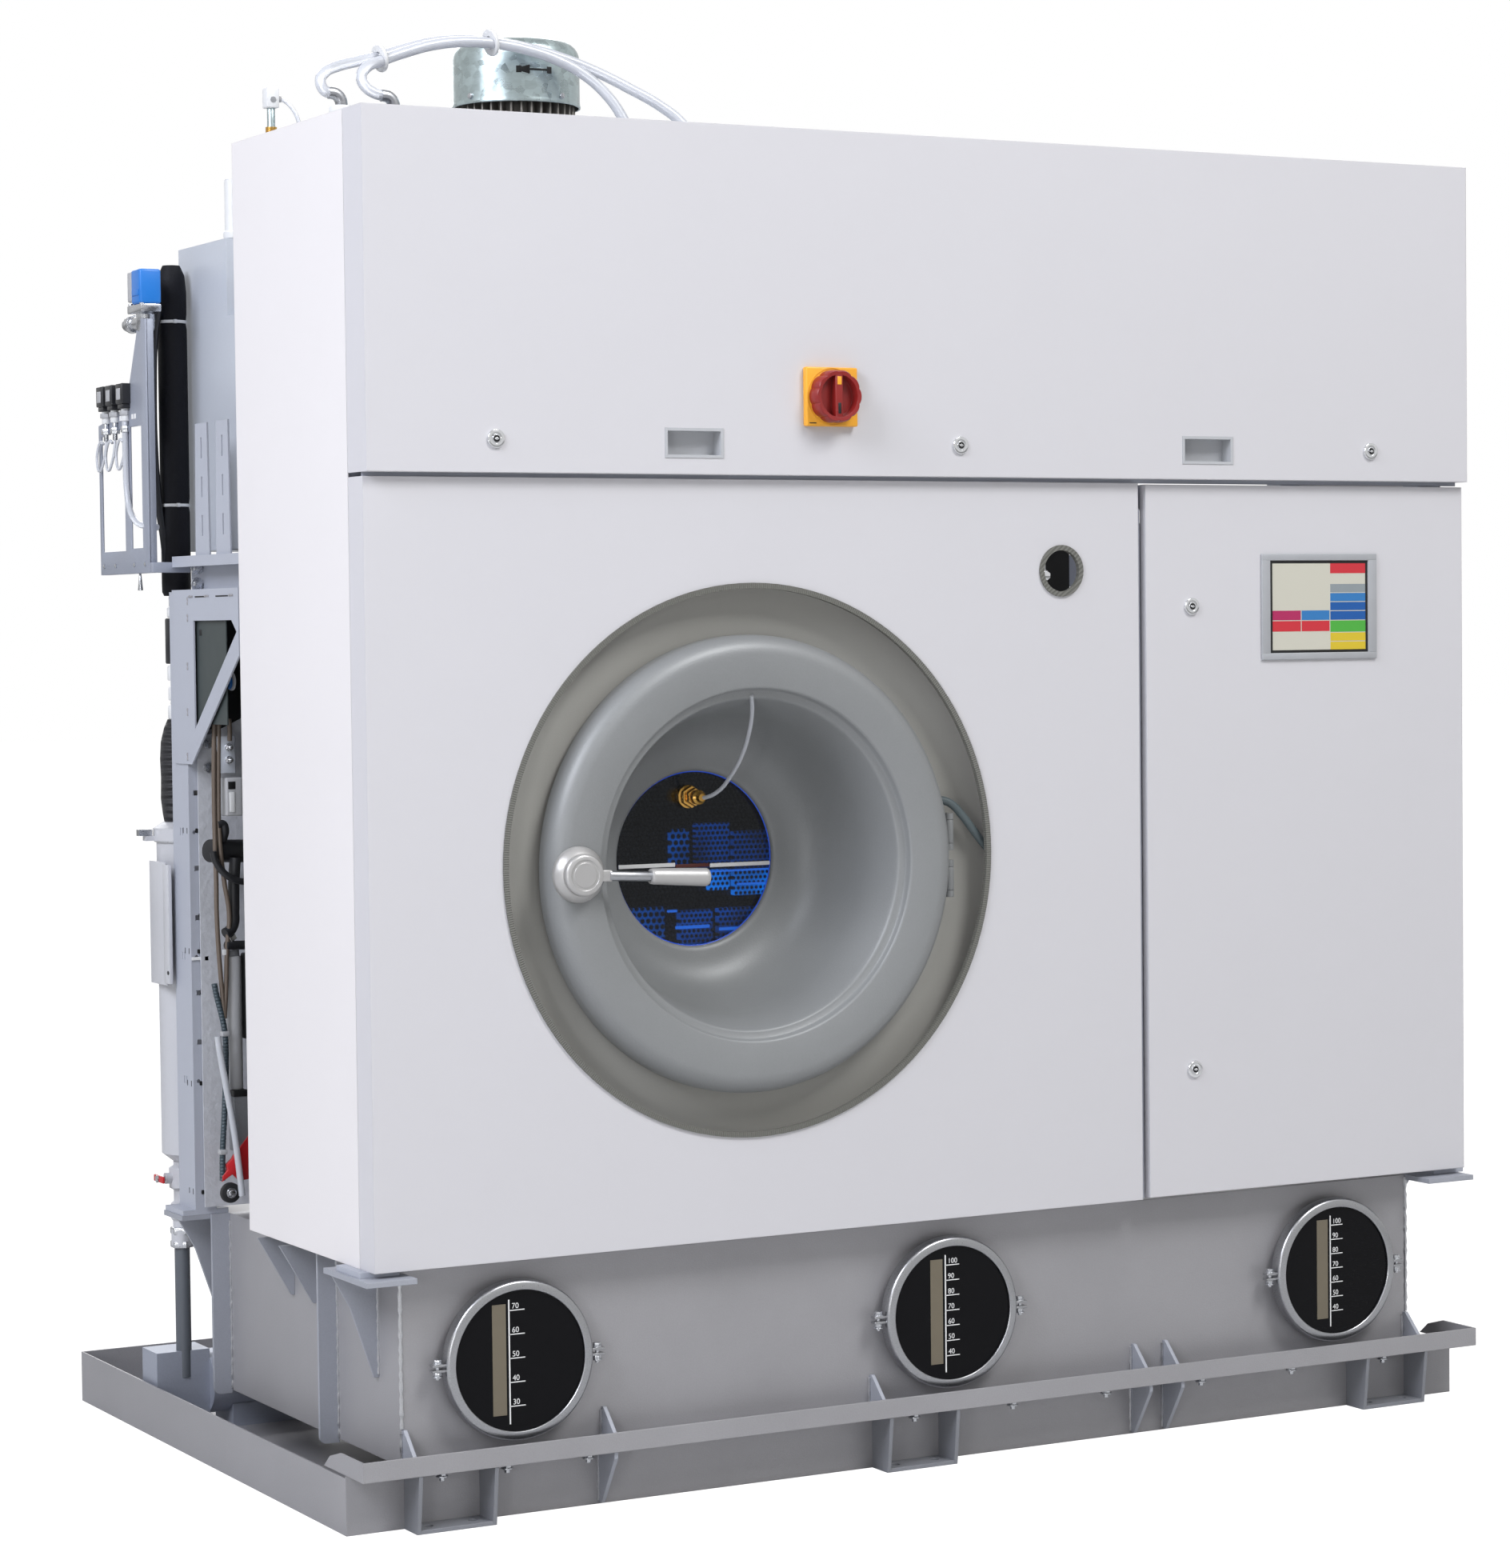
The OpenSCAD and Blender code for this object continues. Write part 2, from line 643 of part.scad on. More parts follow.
// Upright slotted plate on the left side rail
module upright_plate(y) {
    x = frame_x0 + 5;
    difference() {
        along_x(x, x + 3)
            polygon([[y, rail_top], [y + 60, rail_top], [y + 54, rail_top + 205], [y + 4, rail_top + 205]]);
        for (z = [rail_top + 30, rail_top + 90, rail_top + 150])
            block([x - cut, y + 26, z], [x + 3 + cut, y + 31, z + 32]);
    }
}

module frame_rails() color("#b4b7bb") {
    side_rail();
    mirrored_at(cab_shift) side_rail();
    for (y = [column_y0 - 97, column_y0 - 187]) upright_plate(y);
    // rear cross beam between the columns
    block([frame_x0 + column_x, beam_y0, column_z1], [frame_x1 - column_x, beam_y0 + post, rail_top]);
    // top frame
    for (y = [post_y0, mid_post_y0])
        block([frame_x0, y, top_z - post], [frame_x1, y + post, top_z]);
    for (x = [frame_x0, frame_x1 - post])
        block([x, post_y0 + post, top_z - post], [x + post, mid_post_y0, top_z]);
    // front crossbar, clear of the open control door, and the keeper bar for the cover's locks
    block([frame_x0, panel_y + 30, panel_z1 - post], [frame_x1 - 8, post_y0, panel_z1 - sheet]);
    block([frame_x0 + 2, panel_y + 11, panel_z1], [frame_x1 - 2, panel_y + 14, panel_z1 + 12]);
}

// Folded side panel; the other side is its mirror image
module side_panel() {
    block([cab_x0, side_y0, cab_z0], [cab_x0 + sheet, side_y1, cover_z1]);
    block([cab_x0 + sheet, side_y1 - sheet, cab_z0], [cab_x0 + 15, side_y1, column_z1 - 2]);
    block([cab_x0 + sheet, side_y1 - sheet, rail_top + 1], [cab_x0 + 15, side_y1, cover_z1]);
    block([cab_x0 + sheet, side_y0, cab_z0 + cab_gap], [cab_x0 + 12, side_y0 + sheet, panel_z1 - post - 1]);
    difference() {
        block([cab_x0 + sheet, side_y0, top_z + 3], [cab_x0 + 12, side_y1, top_z + 3 + sheet]);
        for (e = [[elbows[0], 15], [cylinder_at, 6]])
            rod_z(e[1] + gap, top_z + 3 - cut, top_z + 3 + sheet + cut, e[0]);
    }
}

module side_panels() color("#dfe0e4") {
    side_panel();
    mirrored_at(cab_shift) side_panel();
}

// A sheet tray of the given corners, open to the rear, with a fold on each side
module folded_front(x0, x1, y0, z0, z1, depth, bottom_depth) {
    difference() {
        block([x0, y0, z0], [x1, y0 + depth, z1]);
        block([x0 + sheet, y0 + sheet, z0 + sheet], [x1 - sheet, y0 + depth + cut, z1 - sheet]);
        block([x0 + sheet, y0 + bottom_depth, z0 - cut], [x1 - sheet, y0 + depth + cut, z0 + sheet + cut]);
    }
}

module lower_front_panel() color("#dcdde2") {
    depth = side_y0 - 1 - panel_y;
    difference() {
        folded_front(cab_x0, panel_x1, panel_y, cab_z0, panel_z1, depth, depth);
        rod_y(opening_r, panel_y - cut, panel_y + sheet + cut, [drum_x, opening_z]);
        rod_y(peep_r, panel_y - cut, panel_y + sheet + cut, [peep_x(), peep_z()]);
        // notch round the front crossbar
        block([panel_x1 - sheet - cut, panel_y + 30 - gap, panel_z1 - post - gap],
            [panel_x1 + cut, side_y0, panel_z1 - sheet]);
    }
}

// Place of the peephole on the lower front panel
function peep_x() = panel_x1 - 145;
function peep_z() = panel_z1 - 137;

// U-shaped edge trim round one opening
module edge_trim(r, at) {
    f = -panel_y;
    turned(at)
        polygon([[r - 3, f - sheet - 3], [r - 3, f + 3], [r + trim_lip, f + 3], [r + trim_lip, f + 0.1],
            [r - 0.1, f + 0.1], [r - 0.1, f - sheet - 0.1], [r + trim_lip, f - sheet - 0.1],
            [r + trim_lip, f - sheet - 3]]);
}

module edge_trims() color("#84857f") {
    edge_trim(opening_r, [drum_x, opening_z]);
    edge_trim(peep_r, [peep_x(), peep_z()]);
}

// Plate on top of the frame, open round the fan motor
module top_tray() color("#cfd1d5")
    difference() {
        block([frame_x0, post_y0, top_z], [frame_x1, mid_post_y0 + post, top_z + 3]);
        rod_z(cowl_r - 1, top_z - cut, top_z + 3 + cut, fan_at);
    }

// ---- Drum --------------------------------------------------------------------

// Outer drum with its front plate, back plate, saddles and two air ports
module outer_drum() color("#97968f")
    difference() {
        union() {
            turned([drum_x, drum_z])
                polygon([[mouth_r, tub_front], [tub_r + 6, tub_front], [tub_r + 6, tub_front - 6],
                    [tub_r, tub_front - 6], [tub_r, tub_back], [60, tub_back], [60, tub_back + 12],
                    [tub_r - tub_sheet, tub_back + 12], [tub_r - tub_sheet, tub_front - 6],
                    [mouth_r, tub_front - 6]]);
            for (y = [front + 76, front + 496]) difference() {
                along_y(y, y + 10)
                    polygon([[drum_x - 340, tank_z1], [drum_x + 340, tank_z1], [drum_x + 400, 700],
                        [drum_x - 400, 700]]);
                rod_y(tub_r - 0.5, y - cut, y + 10 + cut, [drum_x, drum_z]);
            }
        }
        block([lint_box[0] + 30, lint_box[2] + 30, drum_z],
            [lint_box[1] - 30, lint_box[3] - 30, drum_z + tub_r]);
        block([port[0] + 12, -tub_back - 13, 1202], [port[1] - 12, -tub_back + 1, 1280]);
    }

// Flanged housing behind the back plate, bored for two bearings
module bearing_housing() color("#6f7378") {
    b = bearing_r + fit;
    turned([drum_x, drum_z])
        polygon([[b, tub_back], [140, tub_back], [140, tub_back - 14], [75, tub_back - 24],
            [75, -housing_y1], [b, -housing_y1], [b, -bearing_y[1]], [bearing_r - 6, -bearing_y[1]],
            [bearing_r - 6, -bearing_y[0] - bearing_w], [b, -bearing_y[0] - bearing_w]]);
}

module drum_bearings() color("#c4c8cc")
    for (y = bearing_y) turned([drum_x, drum_z])
        polygon([[shaft_r + fit, -y], [bearing_r, -y], [bearing_r, -y - bearing_w],
            [shaft_r + fit, -y - bearing_w]]);

// Drum with an open front, drawn without its fine perforation
module drum_cage() color("#9fb0c8")
    turned([drum_x, drum_z])
        polygon([[mouth_r + 4, cage_front], [cage_r, cage_front], [cage_r, cage_back - cage_sheet],
            [shaft_r + 1, cage_back - cage_sheet], [shaft_r + 1, cage_back],
            [cage_r - cage_sheet, cage_back], [cage_r - cage_sheet, cage_front - cage_sheet],
            [mouth_r + 4, cage_front - cage_sheet]]);

// Three lifters along the inside of the drum
module drum_lifters() color("#9fb0c8")
    for (a = [30, 150, 270]) intersection() {
        translate([drum_x, 0, drum_z]) rotate([0, a, 0])
            along_y(-cage_front + 30, -cage_back - 30)
                polygon([[cage_r, -45], [cage_r, 45], [cage_r - lifter_h + 12, 22],
                    [cage_r - lifter_h, 10], [cage_r - lifter_h, -10], [cage_r - lifter_h + 12, -22]]);
        rod_y(cage_r - cage_sheet - gap, -cage_front, -cage_back, [drum_x, drum_z]);
    }

// Shaft with the flange that carries the drum's back
module drum_shaft() color("#aab0b6")
    turned([drum_x, drum_z])
        polygon([[0, cage_back], [shaft_r, cage_back], [shaft_r, cage_back - cage_sheet],
            [95, cage_back - cage_sheet], [95, 17], [shaft_r + 9, 12], [shaft_r + 9, -38], [shaft_r, -38],
            [shaft_r, -pulley_y0 - pulley_w - 7], [0, -pulley_y0 - pulley_w - 7]]);

module drum_pulley() color("#55595e")
    difference() {
        turned([drum_x, drum_z])
            polygon([[shaft_r + fit, -pulley_y0 - 4], [48, -pulley_y0 - 4], [48, -pulley_y0 - 24],
                [pulley_r - 12, -pulley_y0 - 24], [pulley_r - 12, -pulley_y0], [pulley_r, -pulley_y0],
                [pulley_r, -pulley_y0 - pulley_w], [pulley_r - 12, -pulley_y0 - pulley_w],
                [pulley_r - 12, -pulley_y0 - 36], [48, -pulley_y0 - 36], [48, -pulley_y0 - pulley_w + 4],
                [shaft_r + fit, -pulley_y0 - pulley_w + 4]]);
        for (a = [0:72:359])
            rod_y(34, pulley_y0, pulley_y0 + pulley_w,
                [drum_x + (pulley_r + 36) / 2 * cos(a), drum_z + (pulley_r + 36) / 2 * sin(a)]);
    }

// Points round both pulleys, a distance off their rims
function belt_points(off) =
    let (a = [drum_x, drum_z], b = [motor_x, motor_z], d = b - a,
        phi = atan2(d[1], d[0]), psi = acos((pulley_r - motor_pulley_r) / norm(d)))
    concat(arc(a, pulley_r + off, phi + psi, phi + 360 - psi, 48),
        arc(b, motor_pulley_r + off, phi - psi, phi + psi, 20));

module drive_belt() color("#1c1d1f") {
    y = pulley_y0 + (pulley_w - belt_w) / 2;
    along_y(y, y + belt_w) difference() {
        polygon(belt_points(belt_t + 2 * gap));
        polygon(belt_points(2 * gap));
    }
}

module drum_motor() color("#3f5f86") {
    at = [motor_x, motor_z];
    difference() {
        union() {
            rod_y(motor_r, -40, 195, at);
            rod_y(motor_r - 25, -60, -40, at);
            block([motor_x - 70, -20, tank_z1], [motor_x + 70, 175, motor_z - motor_r / 2]);
            block([motor_x + 30, 20, motor_z + 40], [motor_x + 110, 130, motor_z + 95]);
        }
        rod_y(14 + fit, 60, 196, at);
    }
}

// Small pulley on the drum motor's rotor shaft
module motor_pulley() color("#55595e") {
    at = [motor_x, motor_z];
    rod_y(14, 62, pulley_y0 + pulley_w + 5, at);
    rod_y(motor_pulley_r, pulley_y0, pulley_y0 + pulley_w, at);
    for (y = [pulley_y0 - 3, pulley_y0 + pulley_w - 1]) rod_y(motor_pulley_r + 5, y, y + 4, at);
}

// ---- Loading door --------------------------------------------------------------

// Dished ring: flat rim, stepped inner edge and a funnel down to the glass
module door_ring() color("#8f9391") {
    f = door_front;
    g = glass_front_f;
    difference() {
        union() {
            turned([drum_x, drum_z])
                polygon(concat([[door_r, door_back]],
                    arc([door_r - door_fillet, f - door_fillet], door_fillet, 0, 90),
                    [[rim_r + 3, f], [rim_r, f - 3], [rim_r, funnel_front], [rim_r - 12, funnel_front],
                        [rim_r - 15, funnel_front - 3], [rim_r - 18, funnel_front - 10],
                        [rim_r - 30, funnel_front - 62], [rim_r - 44, funnel_front - 122]],
                    arc([rim_r - 84, g + 52], 40, 0, -80, 6),
                    arc([window_r + 8, g + 4], 8, 60, 180, 4),
                    [[window_r, g], [glass_seat_r + gap, g], [glass_seat_r + gap, g - door_glass_t - 2],
                        [glass_seat_r + 9, g - door_glass_t - 2], [rim_r - 84, g + 2],
                        [rim_r - 49, g + 17], [rim_r - 35, g + 38], [rim_r - 33, g + 76],
                        [rim_r - 19, g + 136], [rim_r - 8, door_back + 4],
                        [rim_r - 2, door_back]]));
            for (s = [-1, 1]) {
                z = drum_z + s * hinge_offset;
                rod_z(knuckle_r, z - knuckle_h / 2, z + knuckle_h / 2, [hinge_x, hinge_y]);
                block([hinge_x - 60, hinge_y, z - knuckle_h / 2],
                    [hinge_x, hinge_y + 7, z + knuckle_h / 2]);
            }
            rod_x(6, drum_x + 322, drum_x + 339, [-598, 1022]);
        }
        for (s = [-1, 1]) {
            z = drum_z + s * hinge_offset;
            rod_z(door_pin_r + fit, z - knuckle_h, z + knuckle_h, [hinge_x, hinge_y]);
        }
        rod_y(spindle_r + fit, -f - cut, -door_back + cut, [hub_x, hub_z]);
    }
}

module door_glass() color("#0d1422")
    difference() {
        rod_y(glass_seat_r, -glass_front_f, -glass_front_f + door_glass_t, [drum_x, drum_z]);
        rod_y(6 + gap, -glass_front_f - cut, -glass_front_f + door_glass_t + cut, [fitting_x, fitting_z]);
    }

module door_gasket() color("#2a2b2c")
    turned([drum_x, drum_z])
        polygon([[rim_r + 10, door_back], [rim_r + 30, door_back], [rim_r + 30, tub_front + 3],
            [rim_r + 26, tub_front + gap], [rim_r + 14, tub_front + gap], [rim_r + 10, tub_front + 3]]);

// Two fixed clevises with their pins, and the clip that holds the hose
module door_hinge() color("#8f9391") {
    for (s = [-1, 1]) {
        z = drum_z + s * hinge_offset;
        for (e = [-1, 1]) {
            z0 = z + e * (knuckle_h / 2 + gap + 5) - 5;
            rod_z(knuckle_r, z0, z0 + 10, [hinge_x, hinge_y]);
            block([hinge_x - knuckle_r, hinge_y, z0], [hinge_x + knuckle_r, -tub_front, z0 + 10]);
        }
        rod_z(door_pin_r, z - knuckle_h / 2 - 9, z + knuckle_h / 2 + 9, [hinge_x, hinge_y]);
    }
    block([drum_x + 443, -600, 926], [drum_x + 452, -tub_front, 948]);
}

// Domed base of the handle on the door's rim
module handle_hub() color("#b5b6b8")
    turned([hub_x, hub_z])
        polygon([[spindle_r + fit, door_front], [hub_r, door_front], [hub_r, door_front + 4],
            [hub_r - 4, door_front + 12], [hub_r - 10, hub_front], [spindle_r + fit, hub_front]]);

// Turning lever: cap, neck, rod and tapered grip, with the spindle and the latch cam behind
module door_lever() color("#c3c3c4") {
    cap_f = hub_front + 10;
    turned([hub_x, hub_z])
        polygon([[0, tub_front + 3], [spindle_r, tub_front + 3], [spindle_r, hub_front + gap],
            [hub_r - 10, hub_front + gap], [hub_r - 10, cap_f - 2], [hub_r - 12, cap_f], [0, cap_f]]);
    translate([hub_x, 0, hub_z]) rotate([0, lever_tilt, 0]) {
        block([20, -cap_f, -9], [42, -hub_front - gap, 9]);
        rod_x(5.5, 40, 86, [-grip_f, 0]);
        translate([82, -grip_f, 0]) rotate([0, 90, 0]) cylinder(r1 = 10.5, r2 = 13.5, h = 120);
        block([-34, -door_back + 1, -9], [6, -tub_front - 3, 9]);
    }
}

// Fitting through the window and the clear tube from it to the rim
module door_tube() color("#b98a4a") {
    at = [fitting_x, fitting_z];
    g = -glass_front_f;
    rod_y(6, g - 20, g + door_glass_t + 9, at);
    translate([at[0], g - 14, at[1]]) rotate([-90, 0, 0]) cylinder(r = 17, h = 14, $fn = 6);
    translate([at[0], g - 26, at[1]]) rotate([-90, 0, 0]) cylinder(r = 12, h = 13, $fn = 6);
    rod_y(5, g - 46, g - 25, at);
    rod_y(15, g + door_glass_t, g + door_glass_t + 8, at);
    translate([drum_x + 342, 0, 0]) tube(door_tube_route, 4, 8, [1, 0, 0]);
}

module door_hose() color("#6c7470") translate([drum_x + 342, 0, 0]) tube(door_hose_route, 6.5);

// ---- Upper cover -----------------------------------------------------------------

module upper_cover() color("#dcdde2")
    difference() {
        union() {
            folded_front(cab_x0, cab_x1, cover_y, cover_z0, cover_z1, cover_depth, 23);
            for (x = cover_hinges) {
                rod_x(cover_knuckle_r, x - 12, x + 12, cover_pin);
                block([x - 12, cover_pin[0] - 30, cover_z1 - 4], [x + 12, cover_pin[0], cover_z1 + 0.5]);
            }
        }
        for (x = cover_hinges) {
            rod_x(cover_pin_r + fit, x - 40, x + 40, cover_pin);
            for (s = [-1, 1])
                block([x + s * 27 - 15 + gap, cover_pin[0] - 7, cover_z1 - 6],
                    [x + s * 27 + 15 - gap, cover_pin[0] + 2, cover_z1 + 1]);
        }
        for (x = cover_locks)
            rod_y(lock_barrel_r + 0.2, cover_y - cut, cover_y + sheet + cut, [x, lock_z]);
        rod_y(6 + gap, cover_y - cut, cover_y + sheet + cut, [switch_x, switch_z]);
        for (x = grips)
            block([x - grip_w / 2 - gap, cover_y - cut, grip_z - grip_h / 2 - gap],
                [x + grip_w / 2 + gap, cover_y + sheet + cut, grip_z + grip_h / 2 + gap]);
    }

// Fixed hinge knuckles with their pins, for the cover and the control door
module panel_hinges() color("#aeb1b6") {
    for (x = cover_hinges) {
        rod_x(cover_pin_r, x - 36, x + 36, cover_pin);
        for (s = [-1, 1]) {
            x0 = x + s * (12 + gap + 12) - 12;
            rod_x(cover_knuckle_r, x0, x0 + 24, cover_pin);
            block([x0, cover_pin[0] + 2, top_z - 30], [x0 + 24, post_y0, cover_pin[1]]);
        }
    }
    for (z = ctl_hinges) {
        rod_z(ctl_pin_r, z - 34, z + 34, ctl_pin);
        for (s = [-1, 1]) {
            z0 = z + s * (15 + gap + 9) - 9;
            rod_z(ctl_knuckle_r, z0, z0 + 18, ctl_pin);
            block([ctl_pin[0] - ctl_knuckle_r, ctl_pin[1], z0],
                [ctl_pin[0] - ctl_knuckle_r + 3, post_y0, z0 + 18]);
        }
    }
}

// Two open cups let into the cover as finger grips
module cover_grips() color("#b9bbbf")
    for (x = grips) difference() {
        union() {
            block([x - grip_w / 2 - 3, cover_y - 1, grip_z - grip_h / 2 - 3],
                [x + grip_w / 2 + 3, cover_y, grip_z + grip_h / 2 + 3]);
            block([x - grip_w / 2, cover_y, grip_z - grip_h / 2],
                [x + grip_w / 2, cover_y + grip_depth, grip_z + grip_h / 2]);
        }
        block([x - grip_w / 2 + 1.5, cover_y - 2, grip_z - grip_h / 2 + 1.5],
            [x + grip_w / 2 - 1.5, cover_y + grip_depth - 1.5, grip_z + grip_h / 2 - 1.5]);
    }

// Lock barrel through a sheet, with its flange and rear nut
module lock_barrel(at, y, length) {
    difference() {
        union() {
            rod_y(lock_flange_r, y - 3, y, at);
            rod_y(lock_barrel_r, y, y + length, at);
            rod_y(lock_flange_r - 1, y + sheet, y + sheet + 5, at);
        }
        rod_y(lock_core_r + fit, y - 4, y + length + cut, at);
    }
}

// Lock core with its cam; the cam's rest angle is about Y
module lock_core(at, y, length, rest) {
    rod_y(lock_core_r, y - 4, y + 32.5, at);
    translate([at[0], 0, at[1]]) rotate([0, rest, 0])
        block([-7, y + 29.5, -7], [length, y + 32.5, 7]);
}

module cover_lock_barrels() color("#cfd2d6")
    for (x = cover_locks) lock_barrel([x, lock_z], cover_y, 27);

module lock_core_left() color("#d8dadd") lock_core([cover_locks[0], lock_z], cover_y, 50, 0);
module lock_core_middle() color("#d8dadd") lock_core([cover_locks[1], lock_z], cover_y, 50, 0);
module lock_core_right() color("#d8dadd") lock_core([cover_locks[2], lock_z], cover_y, 50, 0);

// Main switch: square plate and scalloped knob with a bar handle
module switch_plate() color("#e8a83c")
    difference() {
        block([switch_x - switch_side / 2, cover_y - switch_t, switch_z - switch_side / 2],
            [switch_x + switch_side / 2, cover_y, switch_z + switch_side / 2]);
        rod_y(6 + fit, cover_y - switch_t - cut, cover_y + cut, [switch_x, switch_z]);
    }

module switch_knob() color("#8c2a26") {
    y0 = cover_y - switch_t - gap;
    at = [switch_x, switch_z];
    rod_y(6, y0 - 4, cover_y + 20, at);
    difference() {
        union() {
            rod_y(knob_r - 2, y0 - knob_h, y0, at);
            for (a = [0:36:359])
                rod_y(knob_r * 0.3, y0 - knob_h, y0,
                    [switch_x + knob_r * 0.7 * cos(a), switch_z + knob_r * 0.7 * sin(a)]);
        }
        rod_y(knob_r - 8, y0 - knob_h - cut, y0 - 6, at);
    }
    block([switch_x - 6, y0 - knob_h + 1, switch_z - knob_r + 8],
        [switch_x + 6, y0 - 5, switch_z + knob_r - 8]);
}

// ---- Control door ------------------------------------------------------------------

module control_door() color("#dcdde2")
    difference() {
        union() {
            folded_front(ctl_x0, cab_x1, panel_y, cab_z0 + sheet, panel_z1 - sheet, ctl_depth, ctl_depth);
            for (z = ctl_hinges) {
                rod_z(ctl_knuckle_r, z - 15, z + 15, ctl_pin);
                block([ctl_pin[0] - 3, panel_y + 1, z - 15], [ctl_pin[0] + 3, ctl_pin[1], z + 15]);
            }
        }
        for (z = ctl_hinges) rod_z(ctl_pin_r + fit, z - 40, z + 40, ctl_pin);
        for (z = ctl_locks)
            rod_y(lock_barrel_r + 0.2, panel_y - cut, panel_y + sheet + cut, [ctl_lock_x, z]);
        block([hmi[0] + hmi_edge - gap, panel_y - cut, hmi[2] + hmi_edge - 5 - gap],
            [hmi[1] - hmi_edge + gap, panel_y + sheet + cut, hmi[3] - hmi_edge + 5 + gap]);
    }

module control_lock_barrels() color("#cfd2d6")
    for (z = ctl_locks) lock_barrel([ctl_lock_x, z], panel_y, 18);

module lock_core_upper() color("#d8dadd") control_core(ctl_locks[0]);
module lock_core_lower() color("#d8dadd") control_core(ctl_locks[1]);

// Core whose cam stands up at rest and reaches the post when it is turned
module control_core(z) {
    rod_y(lock_core_r, panel_y - 4, panel_y + 23, [ctl_lock_x, z]);
    block([ctl_lock_x - 7, panel_y + 20.5, z - 7],
        [ctl_lock_x + 7, panel_y + 23, z + ctl_lock_x - ctl_x0 + 6]);
}

// Screen panel: bezel, rear housing and screen
module hmi_panel() color("#9a9ca0") {
    difference() {
        union() {
            block([hmi[0], panel_y - 4, hmi[2]], [hmi[1], panel_y, hmi[3]]);
            block([hmi[0] + hmi_edge, panel_y, hmi[2] + hmi_edge - 5],
                [hmi[1] - hmi_edge, panel_y + 36, hmi[3] - hmi_edge + 5]);
        }
        block([screen[0], panel_y - 5, screen[2]], [screen[1], panel_y - 1, screen[3]]);
    }
    block([screen[0] + gap, panel_y - 3, screen[2] + gap], [screen[1] - gap, panel_y - 1, screen[3] - gap]);
}

// Mounting plate behind the control door with its switchgear
module control_plate() color("#c8cacd") {
    y = post_y0 + 30;
    x0 = post_x + post;
    x1 = frame_x1 - post;
    block([x0, y, cab_z0 + 40], [x1, y + 3, panel_z1 - 60]);
    for (row = [0:4]) for (x = [x0 + 45:56:x1 - 60])
        block([x, y - 30, cab_z0 + 120 + row * 190], [x + 46, y, cab_z0 + 200 + row * 190]);
}

// ---- Fan, ducts and filter -----------------------------------------------------------

module fan_shape(inset) {
    rod_z(fan_r - inset, fan_z0 + inset, fan_z1 - inset, fan_at);
    block([fan_outlet[0] + inset, fan_at[1], fan_z0 + inset],
        [fan_outlet[1] - inset, fan_at[1] + fan_r + (inset > 0 ? cut : 0), fan_z1 - inset]);
}

module fan_housing() color("#a9acb0")
    difference() {
        fan_shape(0);
        fan_shape(3);
        rod_z(90, fan_z0 - cut, fan_z0 + 3 + cut, fan_at);
        rod_z(30, fan_z1 - 3 - cut, fan_z1 + cut, fan_at);
    }

// Finned motor on the fan housing, under its own cowl
module fan_motor() {
    color("#7d8083") difference() {
        union() {
            rod_z(cowl_r - 6, fan_z1, top_z + 4, fan_at);
            rod_z(68, top_z + 4, cowl_z0 + 15, fan_at);
            for (a = [0:15:359]) translate([fan_at[0], fan_at[1], top_z + 3]) rotate([0, 0, a])
                translate([60, -2, 0]) cube([cowl_r - 70, 4, cowl_z0 - top_z + 6]);
            rod_z(cowl_r - 3 - 0.1, cowl_z0 + 9, cowl_z0 + 15, fan_at);
        }
        rod_z(fan_shaft_r + fit, fan_z1 - cut, fan_z1 + 72, fan_at);
    }
    color("#b9c0c2") translate([fan_at[0], fan_at[1], 0]) rotate_extrude()
        polygon(concat([[cowl_r - 3, cowl_z0], [cowl_r, cowl_z0]],
            arc([cowl_r - 26, cowl_z1 - 26], 26, 0, 90),
            [[8, cowl_z1], [8, cowl_z1 - 3]],
            arc([cowl_r - 26, cowl_z1 - 26], 23, 90, 0)));
}

module fan_impeller() color("#8d9093") {
    rod_z(fan_shaft_r, fan_z1 - 40, fan_z1 + 70, fan_at);
    rod_z(125, fan_z1 - 25, fan_z1 - 22, fan_at);
    rod_z(24, fan_z1 - 45, fan_z1 - 25, fan_at);
    difference() {
        rod_z(125, fan_z0 + 44, fan_z0 + 47, fan_at);
        rod_z(88, fan_z0 + 43, fan_z0 + 48, fan_at);
    }
    for (a = [0:30:359]) translate([fan_at[0], fan_at[1], 0]) rotate([0, 0, a])
        translate([90, -1.5, fan_z0 + 46]) rotate([0, 0, 15]) cube([30, 3, fan_z1 - fan_z0 - 70]);
}

// Lint box over the outer drum, heater box and ducts, as one air way
module duct_shape(w) {
    // lint box
    block([lint_box[0] + w, lint_box[2] + w, 1200], [lint_box[1] - w, lint_box[3] - w, fan_z0 + w / 100]);
    // duct from the fan to the upper box
    block([fan_outlet[0] + 3 + w, fan_at[1] + fan_r - w / 100, fan_z0 + 3 + w],
        [fan_outlet[1] - 3 - w, 80 + 2 * w, 1900 - w]);
}

